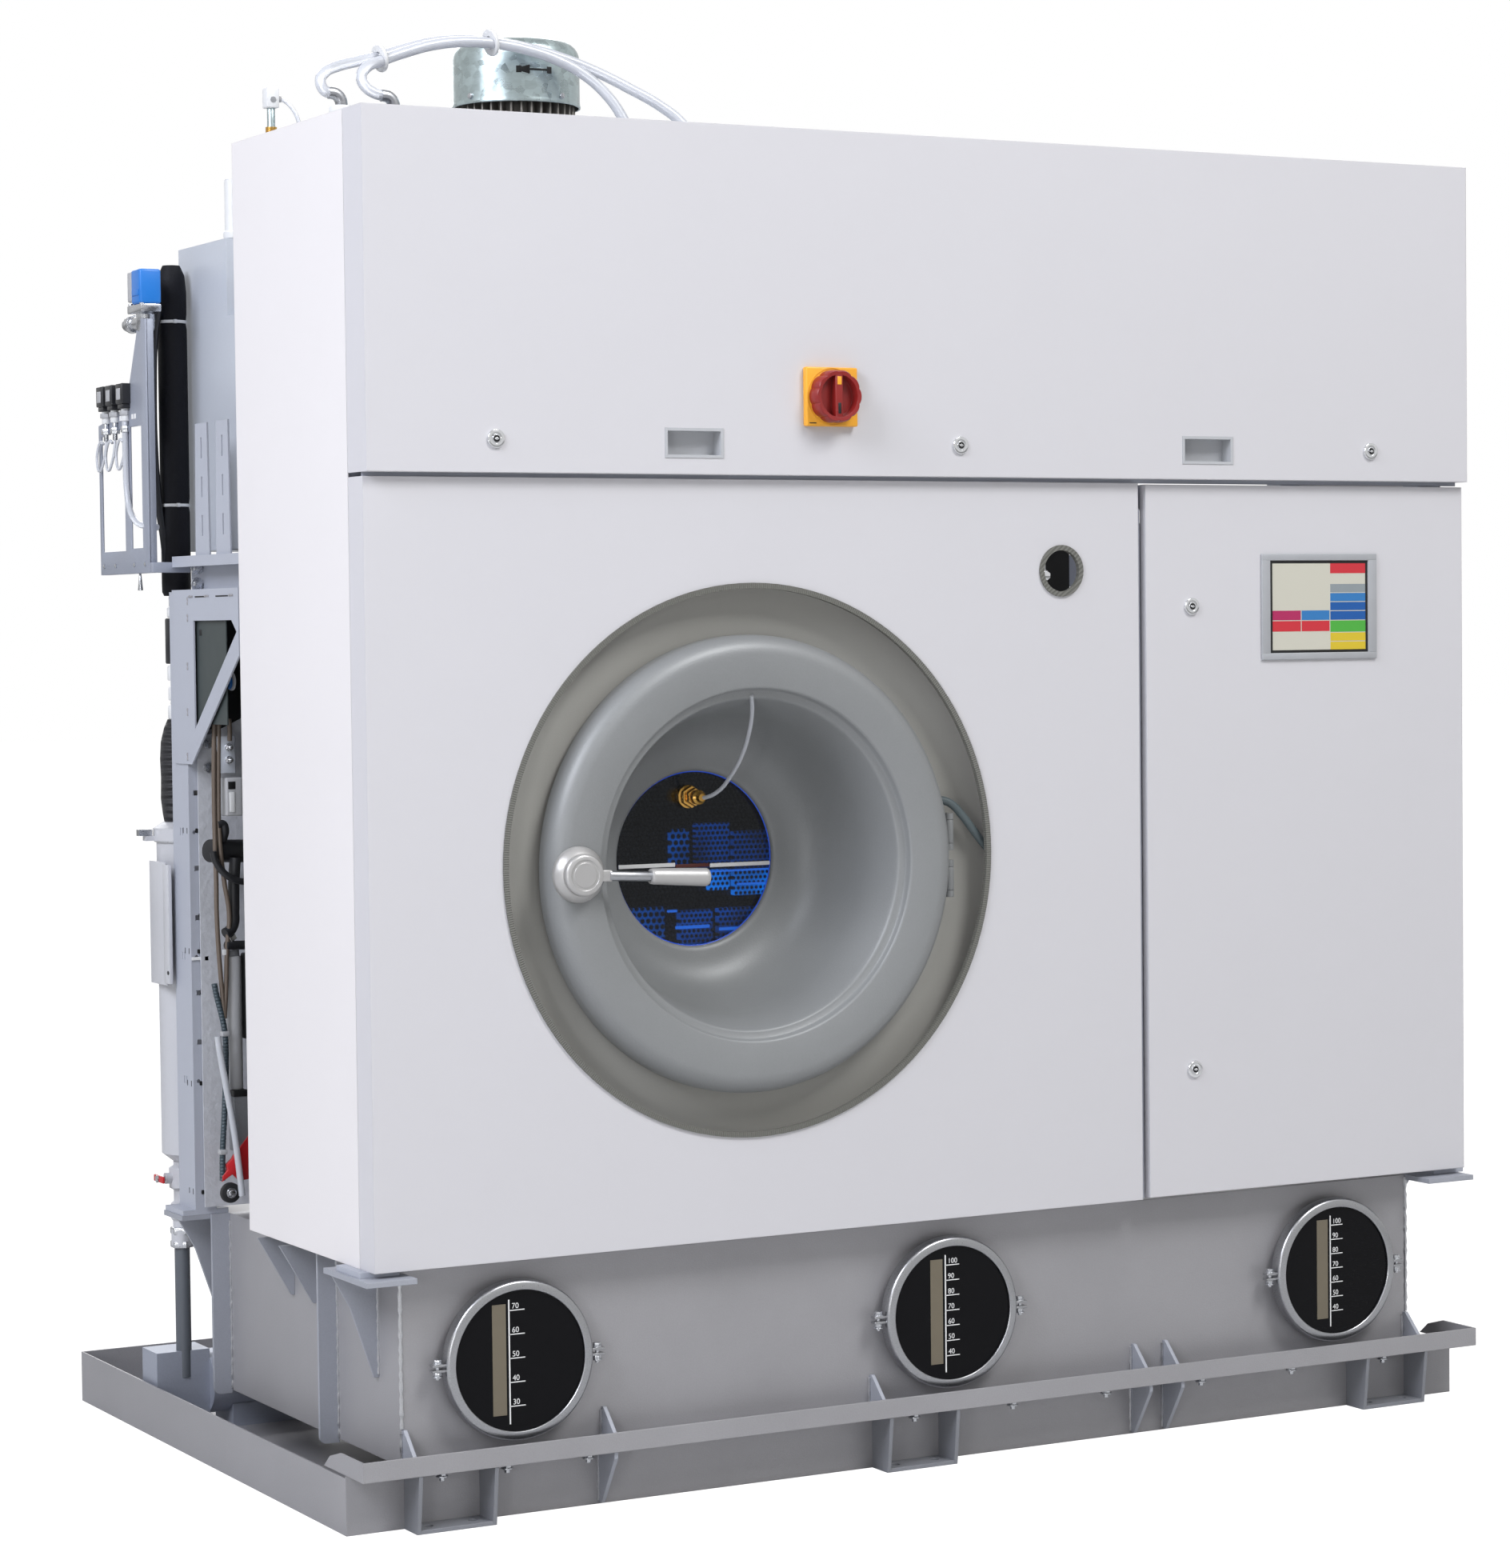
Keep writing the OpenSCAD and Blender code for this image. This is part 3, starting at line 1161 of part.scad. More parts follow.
module air_ducts() color("#b6b7b9") {
    difference() {
        duct_shape(0);
        block([lint_box[0] + duct_wall, lint_box[2] + duct_wall, 1100],
            [lint_box[1] - duct_wall, lint_box[3] - duct_wall, fan_z0 + cut]);
        rod_y(tub_r + gap, lint_box[2] - cut, lint_box[3] + cut, [drum_x, drum_z]);
        block([fan_outlet[0] + 3 + duct_wall, fan_at[1] + fan_r - cut, fan_z0 + 3 + duct_wall],
            [fan_outlet[1] - 3 - duct_wall, 90, 1900 - duct_wall]);
    }
    difference() {
        union() {
            block([duct_x0, 75, 1789], [duct_x1, 288, 1910]);
            block([duct_x0, 41, rail_top + 10], [duct_x1, 268, 1789]);
            block([port[0], -tub_back, 1190], [port[1], 100, rail_top + 10]);
        }
        block([duct_x0 + duct_wall, 75 + duct_wall, 1780],
            [duct_x1 - duct_wall, 288 - duct_wall, 1910 - duct_wall]);
        block([duct_x0 + duct_wall, 41 + duct_wall, rail_top + 10 + duct_wall],
            [duct_x1 - duct_wall, 268 - duct_wall, 1787]);
        block([port[0] + duct_wall, -tub_back - cut, 1190 + duct_wall],
            [port[1] - duct_wall, 100 - duct_wall, rail_top + 10 + 2 * duct_wall]);
        block([fan_outlet[0] + 5, 70, fan_z0 + 5], [fan_outlet[1] - 5, 90, 1898]);
    }
    // feet of the heater box on the rear cross beam
    for (x = [duct_x0 + 95, duct_x0 + 255])
        block([x, beam_y0, rail_top], [x + 40, beam_y0 + post, rail_top + 10]);
    // vent pipe that stands in front of the upper box, open at the top
    difference() {
        rod_z(vent_r + 3, vent_z[0], vent_z[1], vent);
        rod_z(vent_r, vent_z[0] + 5, vent_z[1] + cut, vent);
    }
}

// Filter vessel with its clamped lid, bottom pipe and valve body
module filter_vessel() color("#d5d6d8") {
    difference() {
        translate([vessel_at[0], vessel_at[1], 0]) rotate_extrude()
            polygon([[0, vessel_z[0]], [vessel_r - 18, vessel_z[0]], [vessel_r, vessel_z[0] + 14],
                [vessel_r, vessel_z[1] - 6], [vessel_r + 5, vessel_z[1] - 6],
                [vessel_r + 5, vessel_z[1] + 14],
                [vessel_r - 12, vessel_z[1] + 24], [0, vessel_z[1] + 24]]);
        rod_z(3 + fit, vessel_z[1] - 20, vessel_z[1] + 40, clamp_hinge);
    }
    difference() {
        block([clamp_hinge[0] - 7, clamp_hinge[1] - 7, vessel_z[1] - 6],
            [clamp_hinge[0] + 16, clamp_hinge[1] + 7, vessel_z[1] + 2]);
        rod_z(3 + fit, vessel_z[1] - 20, vessel_z[1] + 40, clamp_hinge);
    }
    // outlet pipe, valve body, unions and the hose down to the pump
    difference() {
        union() {
            translate([valve_at[0], valve_at[1], 0]) rotate_extrude()
                polygon([[0, 133], [11, 133], [11, 300], [17, 304], [17, 330], [14, 334], [14, 344],
                    [17, 348], [17, 372], [12, 376], [12, 394], [19, 398], [19, 430], [12, 434],
                    [12, vessel_z[0]], [0, vessel_z[0]]]);
            rod_x(9, valve_at[0] - 27, valve_at[0], [valve_at[1], valve_z]);
        }
        rod_x(4 + fit, valve_at[0] - 30, valve_at[0] - 12, [valve_at[1], valve_z]);
    }
    // level gauge on the vessel's side
    block([vessel_at[0] - vessel_r - 8, vessel_at[1] - 20, 732],
        [vessel_at[0] - vessel_r + 10, vessel_at[1] + 20, 925]);
}

// Toggle lever of the lid's clamp ring, on its own upright pin
module clamp_lever() color("#c9cccf") {
    z = vessel_z[1] + 2 + gap;
    rod_z(3, z - 7, z + 10, clamp_hinge);
    difference() {
        block([clamp_hinge[0] - 18, clamp_hinge[1] - 6, z],
            [clamp_hinge[0] + 5, clamp_hinge[1] + 6, z + 10]);
        block([clamp_hinge[0] - 15, clamp_hinge[1] - 3, z + 3],
            [clamp_hinge[0] - 6, clamp_hinge[1] + 3, z + 11]);
    }
}

module valve_handle() color("#b3242c") {
    x = valve_at[0] - 27;
    rod_x(4, x - 12, x + 14, [valve_at[1], valve_z]);
    block([x - 12, valve_at[1] - 21, valve_z - 6], [x - 4, valve_at[1] + 21, valve_z + 6]);
}

// Insulated pipe, its couplings and the wrapped end on the filter's lid
module insulated_pipe() color("#1d1e22")
    translate([pipe_at[0], pipe_at[1], 0]) rotate_extrude()
        polygon([[0, vessel_z[1] + 24], [26, vessel_z[1] + 24], [31, 1030], [31, 1110], [22, 1154],
            [13, 1154], [13, 1243], [19, 1243], [19, 1330], [12, 1330], [12, 1352], [pipe_r - 4, 1352],
            [pipe_r, 1372], [pipe_r, 1810], [pipe_r - 9, 1880], [0, 1880]]);

// Pneumatic bracket with its solenoid valves and the larger capped valve
module valve_bracket() {
    x = bracket_x;
    color("#9a9ca0") {
        difference() {
            along_x(x, x + 3)
                polygon([[405, 1387], [172, 1387], [172, 1790], [204, 1793], [272, 1650], [405, 1632]]);
            along_x(x - cut, x + 3 + cut)
                polygon([[282, 1425], [392, 1425], [392, 1612], [282, 1622]]);
            block([x - cut, 200, 1428], [x + 3 + cut, 254, 1623]);
        }
        block([x, 172, 1387], [x + 14, 405, 1390]);
        block([x, 172, 1390], [x + 14, 175, 1790]);
        block([x, column_y0 + 56, 1387], [frame_x0 + 32, 172, 1405]);
    }
    color("#1f2023") for (y = [355, 312, 262]) {
        block([x - 16, y - 16, 1652], [x + 12, y + 16, 1692]);
        rod_z(5, 1632, 1652, [x - 4, y]);
    }
    color("#1d66c4") block([x - 10, 172, 1812], [x + 30, 236, 1869]);
    color("#8f9297") {
        block([x - 8, 172, 1800], [x + 28, 236, 1812]);
        rod_z(15, 1775, 1800, [x + 12, 204]);
        rod_y(11, 204, 285, [x + 12, 1787]);
        rod_z(5, 1360, 1387, [x + 7, 236]);
    }
    color("#d9dadc") translate([left, 0, 0]) tube(air_tube_route, 5, 8, [1, 0, 0]);
}

// Clear hoses with their elbows, and the small pneumatic cylinder with its tube
module top_hoses() {
    color("#d5d6da") {
        translate([left, 0, 0]) {
            tube(hose_route_a, hose_r);
            tube(hose_route_b, hose_r);
            tube(damper_tube_route, 3, 8);
        }
    }
    color("#8c8f93") for (e = elbows) {
        rod_z(9, top_z + 3, e[2] - 16, e);
        rod_z(15, top_z + 3, e[2] - 30, e);
        translate([e[0] - 16, e[1], e[2] - 16]) rotate([90, 0, 0]) intersection() {
            rotate_extrude() translate([16, 0]) circle(r = 9);
            translate([0, 0, -20]) cube(40);
        }
    }
    color("#ededee") rod_z(16.5, 2028, 2040, elbows[0]);
    color("#b9a08c") rod_z(6, top_z + 3, 2068, cylinder_at);
    color("#e6e6e2") block([cylinder_at[0] - 10, cylinder_at[1] - 10, 2068],
        [cylinder_at[0] + 10, cylinder_at[1] + 10, 2098]);
}

// ---- Still and pump --------------------------------------------------------------------

// Still on three legs with its condenser above and a round cleaning door
module solvent_still() color("#b9bcbf") {
    r = 185;
    translate([still_at[0], still_at[1], 0]) rotate_extrude()
        polygon([[0, 150], [120, 160], [r, 220], [r, 640], [120, 700], [60, 710], [60, 860], [115, 870],
            [115, 1240], [40, 1260], [0, 1260]]);
    for (a = [30, 150, 270])
        rod_z(18, tray_sheet, 260, [still_at[0] + 150 * cos(a), still_at[1] + 150 * sin(a)]);
    rod_y(110, still_at[1], -front - 6, [still_at[0], 400]);
}

// Pump in the rear left of the tray, its motor beside it
module solvent_pump() color("#8f959b") {
    block([left - 985, 232, tray_sheet], [left - 895, 300, 133]);
    rod_x(52, left - 895, left - 700, [262, 75]);
    block([left - 860, 222, tray_sheet], [left - 740, 302, 40]);
}

drip_tray();
front_rail();
front_feet();
base_gussets();
tank_shell();
sight_flanges();
sight_panes();
sight_clamps();
base_fasteners();
frame_columns();
frame_rails();
side_panels();
lower_front_panel();
edge_trims();
top_tray();
outer_drum();
bearing_housing();
drum_bearings();
drum_cage();
drum_lifters();
drum_shaft();
drum_pulley();
drive_belt();
drum_motor();
motor_pulley();
door_ring();
door_glass();
door_gasket();
door_hinge();
handle_hub();
door_lever();
door_tube();
door_hose();
upper_cover();
panel_hinges();
cover_grips();
cover_lock_barrels();
lock_core_left();
lock_core_middle();
lock_core_right();
switch_plate();
switch_knob();
control_door();
control_lock_barrels();
lock_core_upper();
lock_core_lower();
hmi_panel();
control_plate();
fan_housing();
fan_motor();
fan_impeller();
air_ducts();
filter_vessel();
clamp_lever();
valve_handle();
insulated_pipe();
valve_bracket();
top_hoses();
solvent_still();
solvent_pump();
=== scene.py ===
"""Looks of a front-loading dry cleaning machine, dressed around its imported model."""
from __future__ import annotations

import logging
import math
from dataclasses import dataclass
from enum import Enum
from typing import Iterable, Sequence

import bmesh
import bpy
from mathutils import Matrix, Vector


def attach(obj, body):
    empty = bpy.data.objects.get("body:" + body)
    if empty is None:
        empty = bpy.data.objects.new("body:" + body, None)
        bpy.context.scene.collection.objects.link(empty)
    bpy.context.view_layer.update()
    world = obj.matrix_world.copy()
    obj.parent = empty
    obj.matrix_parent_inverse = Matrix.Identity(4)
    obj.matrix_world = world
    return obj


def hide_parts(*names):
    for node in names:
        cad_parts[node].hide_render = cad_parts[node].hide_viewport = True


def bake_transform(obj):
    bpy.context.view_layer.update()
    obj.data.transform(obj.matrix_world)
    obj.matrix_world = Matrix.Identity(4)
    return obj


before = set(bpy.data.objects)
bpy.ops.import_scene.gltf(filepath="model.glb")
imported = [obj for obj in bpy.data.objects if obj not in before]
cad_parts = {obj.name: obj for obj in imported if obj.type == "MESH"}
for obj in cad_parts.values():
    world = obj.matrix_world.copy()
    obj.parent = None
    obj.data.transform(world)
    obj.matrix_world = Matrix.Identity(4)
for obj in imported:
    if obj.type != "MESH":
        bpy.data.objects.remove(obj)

log = logging.getLogger("machine")
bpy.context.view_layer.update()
MM = 0.001
DRUM_X, DRUM_Z = -342.0, 938.0
Point = Sequence[float]
Colour = tuple[float, float, float]


class Axis(Enum):
    """Direction that a round or drawn shape is made along."""

    X = (1.0, 0.0, 0.0)
    Y = (0.0, 1.0, 0.0)
    Z = (0.0, 0.0, 1.0)
    FRONT = (0.0, -1.0, 0.0)
    LEFT = (-1.0, 0.0, 0.0)


LAID = {Axis.FRONT: Matrix(((1, 0, 0, 0), (0, 0, -1, 0), (0, 1, 0, 0), (0, 0, 0, 1))),
        Axis.X: Matrix(((0, 0, 1, 0), (1, 0, 0, 0), (0, 1, 0, 0), (0, 0, 0, 1)))}


def srgb(red: float, green: float, blue: float) -> Colour:
    """Linear colour of an 8-bit screen colour."""
    return tuple((c / 255 / 12.92) if c <= 10 else ((c / 255 + 0.055) / 1.055) ** 2.4
                 for c in (red, green, blue))


def times(colour: Colour, factor: float) -> Colour:
    """A colour made darker or lighter."""
    return tuple(min(1.0, c * factor) for c in colour)


def move(at: Point) -> Matrix:
    """Shift to a place."""
    return Matrix.Translation(Vector(at))


def turn_to(axis: Axis | Vector) -> Matrix:
    """Rotation that brings Z onto an axis."""
    goal = Vector(axis.value) if isinstance(axis, Axis) else axis
    return goal.to_track_quat("Z", "Y").to_matrix().to_4x4()


def arc(middle: Point, radius: float | Point, start: float, stop: float, steps: int) -> list[Point]:
    """Points along a round or oval arc.

    Args:
        middle: Its middle in the outline's plane.
        radius: Its radius, or both radii of an oval.
        start: Angle of the first point, in degrees.
        stop: Angle of the last point, in degrees.
        steps: Steps between them.

    Returns:
        The points.
    """
    wide, high = (radius, radius) if isinstance(radius, (int, float)) else radius
    angles = [math.radians(start + (stop - start) * i / steps) for i in range(steps + 1)]
    return [(middle[0] + wide * math.cos(a), middle[1] + high * math.sin(a)) for a in angles]


def circle(radius: float, count: int) -> list[Point]:
    """Points round a circle about the origin."""
    return arc((0.0, 0.0), radius, 0.0, 360.0, count)[:-1]


# ---- Shader maths ----


class Shade:
    """An output socket of a shader tree, with arithmetic on it."""

    def __init__(self, tree: ShaderTree, socket: bpy.types.NodeSocket) -> None:
        """Keeps the tree and the socket."""
        self.tree = tree
        self.socket = socket

    def __add__(self, other: object) -> Shade:
        """self + other."""
        return self.tree.maths("ADD", self, other)

    def __sub__(self, other: object) -> Shade:
        """self - other."""
        return self.tree.maths("SUBTRACT", self, other)

    def __mul__(self, other: object) -> Shade:
        """self * other."""
        return self.tree.maths("MULTIPLY", self, other)


class ShaderTree:
    """A material's or world's node tree, filled by plain calls."""

    def __init__(self, owner: bpy.types.Material | bpy.types.World) -> None:
        """Empties the owner's node tree.

        Args:
            owner: The material or world.
        """
        self.owner = owner
        owner.use_nodes = True
        self.tree = owner.node_tree
        self.tree.nodes.clear()

    def node(self, kind: str, settings: dict, sockets: dict) -> bpy.types.Node:
        """Adds a node, sets its settings, then its sockets.

        Args:
            kind: The node's type.
            settings: Attributes of the node.
            sockets: Values or links by socket name or number; None leaves a socket alone.

        Returns:
            The node.
        """
        made = self.tree.nodes.new(kind)
        for key, value in settings.items():
            setattr(made, key, value)
        for key, value in sockets.items():
            if isinstance(value, Shade):
                self.tree.links.new(value.socket, made.inputs[key])
            elif value is not None:
                made.inputs[key].default_value = value
        return made

    def out(self, kind: str, settings: dict, sockets: dict, output: str | int = 0) -> Shade:
        """Adds a node and gives one of its outputs."""
        return Shade(self, self.node(kind, settings, sockets).outputs[output])

    def maths(self, operation: str, first: object, second: object = None) -> Shade:
        """One Math node."""
        return self.out("ShaderNodeMath", {"operation": operation}, {0: first, 1: second})

    def place(self, scale: Point = (1, 1, 1)) -> Shade:
        """Object coordinates, in metres, scaled."""
        spot = self.out("ShaderNodeTexCoord", {}, {}, "Object")
        if tuple(scale) == (1, 1, 1):
            return spot
        return self.out("ShaderNodeMapping", {}, {"Vector": spot, "Scale": scale})

    def axes(self) -> tuple[Shade, ...]:
        """Object coordinates apart, as x, y and z."""
        split = self.node("ShaderNodeSeparateXYZ", {}, {0: self.place()})
        return tuple(Shade(self, output) for output in split.outputs)

    def noise(self, spot: Shade, scale: float, detail: float = 2.0, rough: float = 0.5) -> Shade:
        """Noise between 0 and 1."""
        return self.out("ShaderNodeTexNoise", {},
                        {"Vector": spot, "Scale": scale, "Detail": detail, "Roughness": rough})

    def mix(self, amount: object, first: object, second: object) -> Shade:
        """Mix of two colours."""
        first, second = (c if isinstance(c, Shade) else (*c, 1.0) for c in (first, second))
        return self.out("ShaderNodeMix", {"data_type": "RGBA", "clamp_factor": True},
                        {0: amount, 6: first, 7: second}, 2)

    def ramp(self, amount: Shade, low: float, high: float) -> Shade:
        """0 below low, 1 above high, straight between."""
        return self.out("ShaderNodeMapRange", {"clamp": True},
                        {"Value": amount, "From Min": low, "From Max": high})

    def relief(self, height: Shade, depth: float, edge: float = 0.0) -> Shade:
        """Normal of a bumpy surface whose edges are softly rounded."""
        soft = self.out("ShaderNodeBevel", {"samples": 4}, {"Radius": edge}) if edge else None
        return self.out("ShaderNodeBump", {},
                        {"Strength": 1.0, "Distance": depth, "Height": height, "Normal": soft},
                        "Normal")

    def surface(self, **sockets: object) -> None:
        """Closes the tree with one principled shader."""
        named = {key.replace("_", " "): value for key, value in sockets.items()}
        shader = self.out("ShaderNodeBsdfPrincipled", {}, named)
        self.node("ShaderNodeOutputMaterial", {}, {"Surface": shader})


# ---- Finishes ----


@dataclass(frozen=True)
class Paint:
    """Sprayed or powder-coated metal: orange peel, a little mottle and soft edges."""

    colour: Colour
    roughness: float = 0.42
    peel: float = 650.0
    relief: float = 0.00012
    mottle: float = 0.03
    metallic: float = 0.0
    edge: float = 0.0013
    gloss: float = 0.4

    def fill(self, tree: ShaderTree) -> None:
        """Fills a material's tree."""
        spot = tree.place()
        cloud = tree.noise(spot, 5.0, 5.0, 0.6)
        grain = tree.noise(spot, self.peel)
        speck = tree.ramp(cloud * 0.65 + grain * 0.35, 0.3, 0.7)
        tree.surface(
            Base_Color=tree.mix(speck, times(self.colour, 1 - self.mottle),
                                times(self.colour, 1 + self.mottle)),
            Roughness=cloud * 0.12 + (self.roughness - 0.06), Metallic=self.metallic,
            Specular_IOR_Level=self.gloss, Normal=tree.relief(grain, self.relief, self.edge))


@dataclass(frozen=True)
class Metal:
    """Bare or plated metal, brushed along one axis or clouded."""

    colour: Colour
    roughness: float = 0.3
    brush: Point = (60.0, 60.0, 60.0)
    streak: float = 0.12
    spangle: float = 0.0
    relief: float = 0.00004
    edge: float = 0.0008

    def fill(self, tree: ShaderTree) -> None:
        """Fills a material's tree."""
        streaks = tone = tree.noise(tree.place(self.brush), 8.0, 4.0, 0.6)
        if self.spangle:
            cells = tree.out("ShaderNodeTexVoronoi", {"feature": "F1"},
                             {"Vector": tree.place(), "Scale": self.spangle}, "Color")
            tone = streaks * 0.4 + tree.out("ShaderNodeRGBToBW", {}, {0: cells}) * 0.6
        tree.surface(
            Base_Color=tree.mix(tree.ramp(tone, 0.25, 0.75), times(self.colour, 1 - self.streak),
                                times(self.colour, 1 + self.streak)),
            Metallic=1.0, Roughness=tone * 0.18 + (self.roughness - 0.09),
            Normal=tree.relief(streaks, self.relief, self.edge))


@dataclass(frozen=True)
class Moulded:
    """Plastic or rubber with a fine moulded grain, or with the turns of a wrapped hose."""

    colour: Colour
    roughness: float = 0.4
    grain: float = 900.0
    relief: float = 0.0001
    clear: float = 0.0
    ribs: float = 0.0
    edge: float = 0.0008
    gloss: float = 0.5
    rib_depth: float = 12.0

    def fill(self, tree: ShaderTree) -> None:
        """Fills a material's tree."""
        spot = tree.place()
        cloud = tree.noise(spot, 30.0, 4.0)
        height, depth = tree.noise(spot, self.grain), self.relief
        if self.ribs:
            turns = tree.out("ShaderNodeTexWave", {"bands_direction": "Z"},
                             {"Vector": spot, "Scale": self.ribs, "Distortion": 1.2, "Detail": 2.0})
            height, depth = turns * 0.8 + height * 0.2, self.relief * self.rib_depth
        tree.surface(
            Base_Color=tree.mix(cloud, times(self.colour, 0.88), self.colour),
            Roughness=cloud * 0.15 + (self.roughness - 0.07), Transmission_Weight=self.clear,
            Specular_IOR_Level=self.gloss, Normal=tree.relief(height, depth, self.edge))


@dataclass(frozen=True)
class Pane:
    """Polished glass, either clear or opaque and near black, the dark being painted shade of the
    inside behind it.
    """

    colour: Colour
    clear: float = 1.0
    roughness: float = 0.03

    def fill(self, tree: ShaderTree) -> None:
        """Fills a material's tree."""
        wipe = tree.noise(tree.place((6, 6, 30)), 3.0, 3.0)
        tree.surface(Base_Color=tree.mix(wipe, self.colour, times(self.colour, 0.85)),
                     Roughness=wipe * 0.03 + self.roughness, Transmission_Weight=self.clear,
                     IOR=1.5, Specular_IOR_Level=0.12)


@dataclass(frozen=True)
class EdgeTrim:
    """Rubber edge trim with the fine ribs of its core, round the door's opening; its colour darkens
    in the creases between ribs as painted shade.
    """

    colour: Colour
    middle: tuple[float, float] = (-0.342, 0.944)
    radius: float = 0.41
    pitch: float = 0.0034

    def fill(self, tree: ShaderTree) -> None:
        """Fills a material's tree."""
        x, _, z = tree.axes()
        angle = tree.maths("ARCTAN2", z - self.middle[1], x - self.middle[0])
        rib = tree.maths("PINGPONG", angle * (2 * self.radius / self.pitch), 1.0)
        grain = tree.noise(tree.place(), 500.0)
        tree.surface(
            # Painted shade: the colour follows the rib's height, darker in its creases.
            Base_Color=tree.mix(rib * 0.7 + grain * 0.3, times(self.colour, 0.62), self.colour),
            Roughness=grain * 0.1 + 0.5, Normal=tree.relief(rib, 0.0006))


@dataclass(frozen=True)
class Pierced:
    """Stainless sheet with rows of punched holes, round the drum's axis or across it; its holes
    hold painted shade, and a lit colour makes the sheet glow as painted light.
    """

    colour: Colour
    pitch: float = 0.011
    hole: float = 0.0031
    flat: bool = False
    # The lit colour is painted light: the sheet glows with it as if lit by a lamp inside the drum.
    lit: Colour = (0.0, 0.0, 0.0)
    radius: float = 0.41
    blur: float = 0.04
    # The holes' near-black colour is painted shade of the dark behind them.
    depths: Colour = (0.002, 0.003, 0.006)

    def fill(self, tree: ShaderTree) -> None:
        """Fills a material's tree."""
        x, y, z = tree.axes()
        if self.flat:
            along, across = x * (1 / self.pitch), z * (1 / self.pitch)
        else:
            angle = tree.maths("ARCTAN2", z - DRUM_Z * MM, x - DRUM_X * MM)
            along, across = y * (1 / self.pitch), angle * (self.radius / self.pitch)
        shift = tree.maths("PINGPONG", tree.maths("FLOOR", across), 1.0) * 0.5
        u, v = (tree.maths("FRACT", way) - 0.5 for way in (along + shift, across))
        rim = self.hole / self.pitch
        solid = tree.ramp(tree.maths("SQRT", u * u + v * v), rim - self.blur, rim + self.blur)
        grain = tree.noise(tree.place((2, 30, 30)), 10.0, 3.0)
        steel = tree.mix(grain, times(self.colour, 0.8), self.colour)
        # Painted light: patches of the lit colour glow from the sheet between the holes.
        painted_glow_patch = tree.ramp(tree.noise(tree.place(), 14.0), 0.32, 0.68)
        lamp = tree.mix(painted_glow_patch, times(self.lit, 0.25), self.lit)
        tree.surface(
            Base_Color=tree.mix(solid, self.depths, steel), Metallic=solid * 0.9,
            Roughness=grain * 0.2 + 0.25, Normal=tree.relief(solid, 0.0006),
            Emission_Color=tree.mix(solid, (0.0, 0.0, 0.0), lamp),
            Emission_Strength=1.0 if any(self.lit) else 0.0)


@dataclass(frozen=True)
class Glow:
    """Self-lit surface of a screen, or glowing painted light standing in for a lamp-lit inside."""

    colour: Colour
    strength: float = 0.2

    def fill(self, tree: ShaderTree) -> None:
        """Fills a material's tree."""
        dots = tree.noise(tree.place(), 2500.0, 1.0)
        lit = tree.mix(dots, times(self.colour, 0.93), self.colour)
        tree.surface(Base_Color=lit, Emission_Color=lit, Roughness=0.3,
                     Emission_Strength=self.strength)


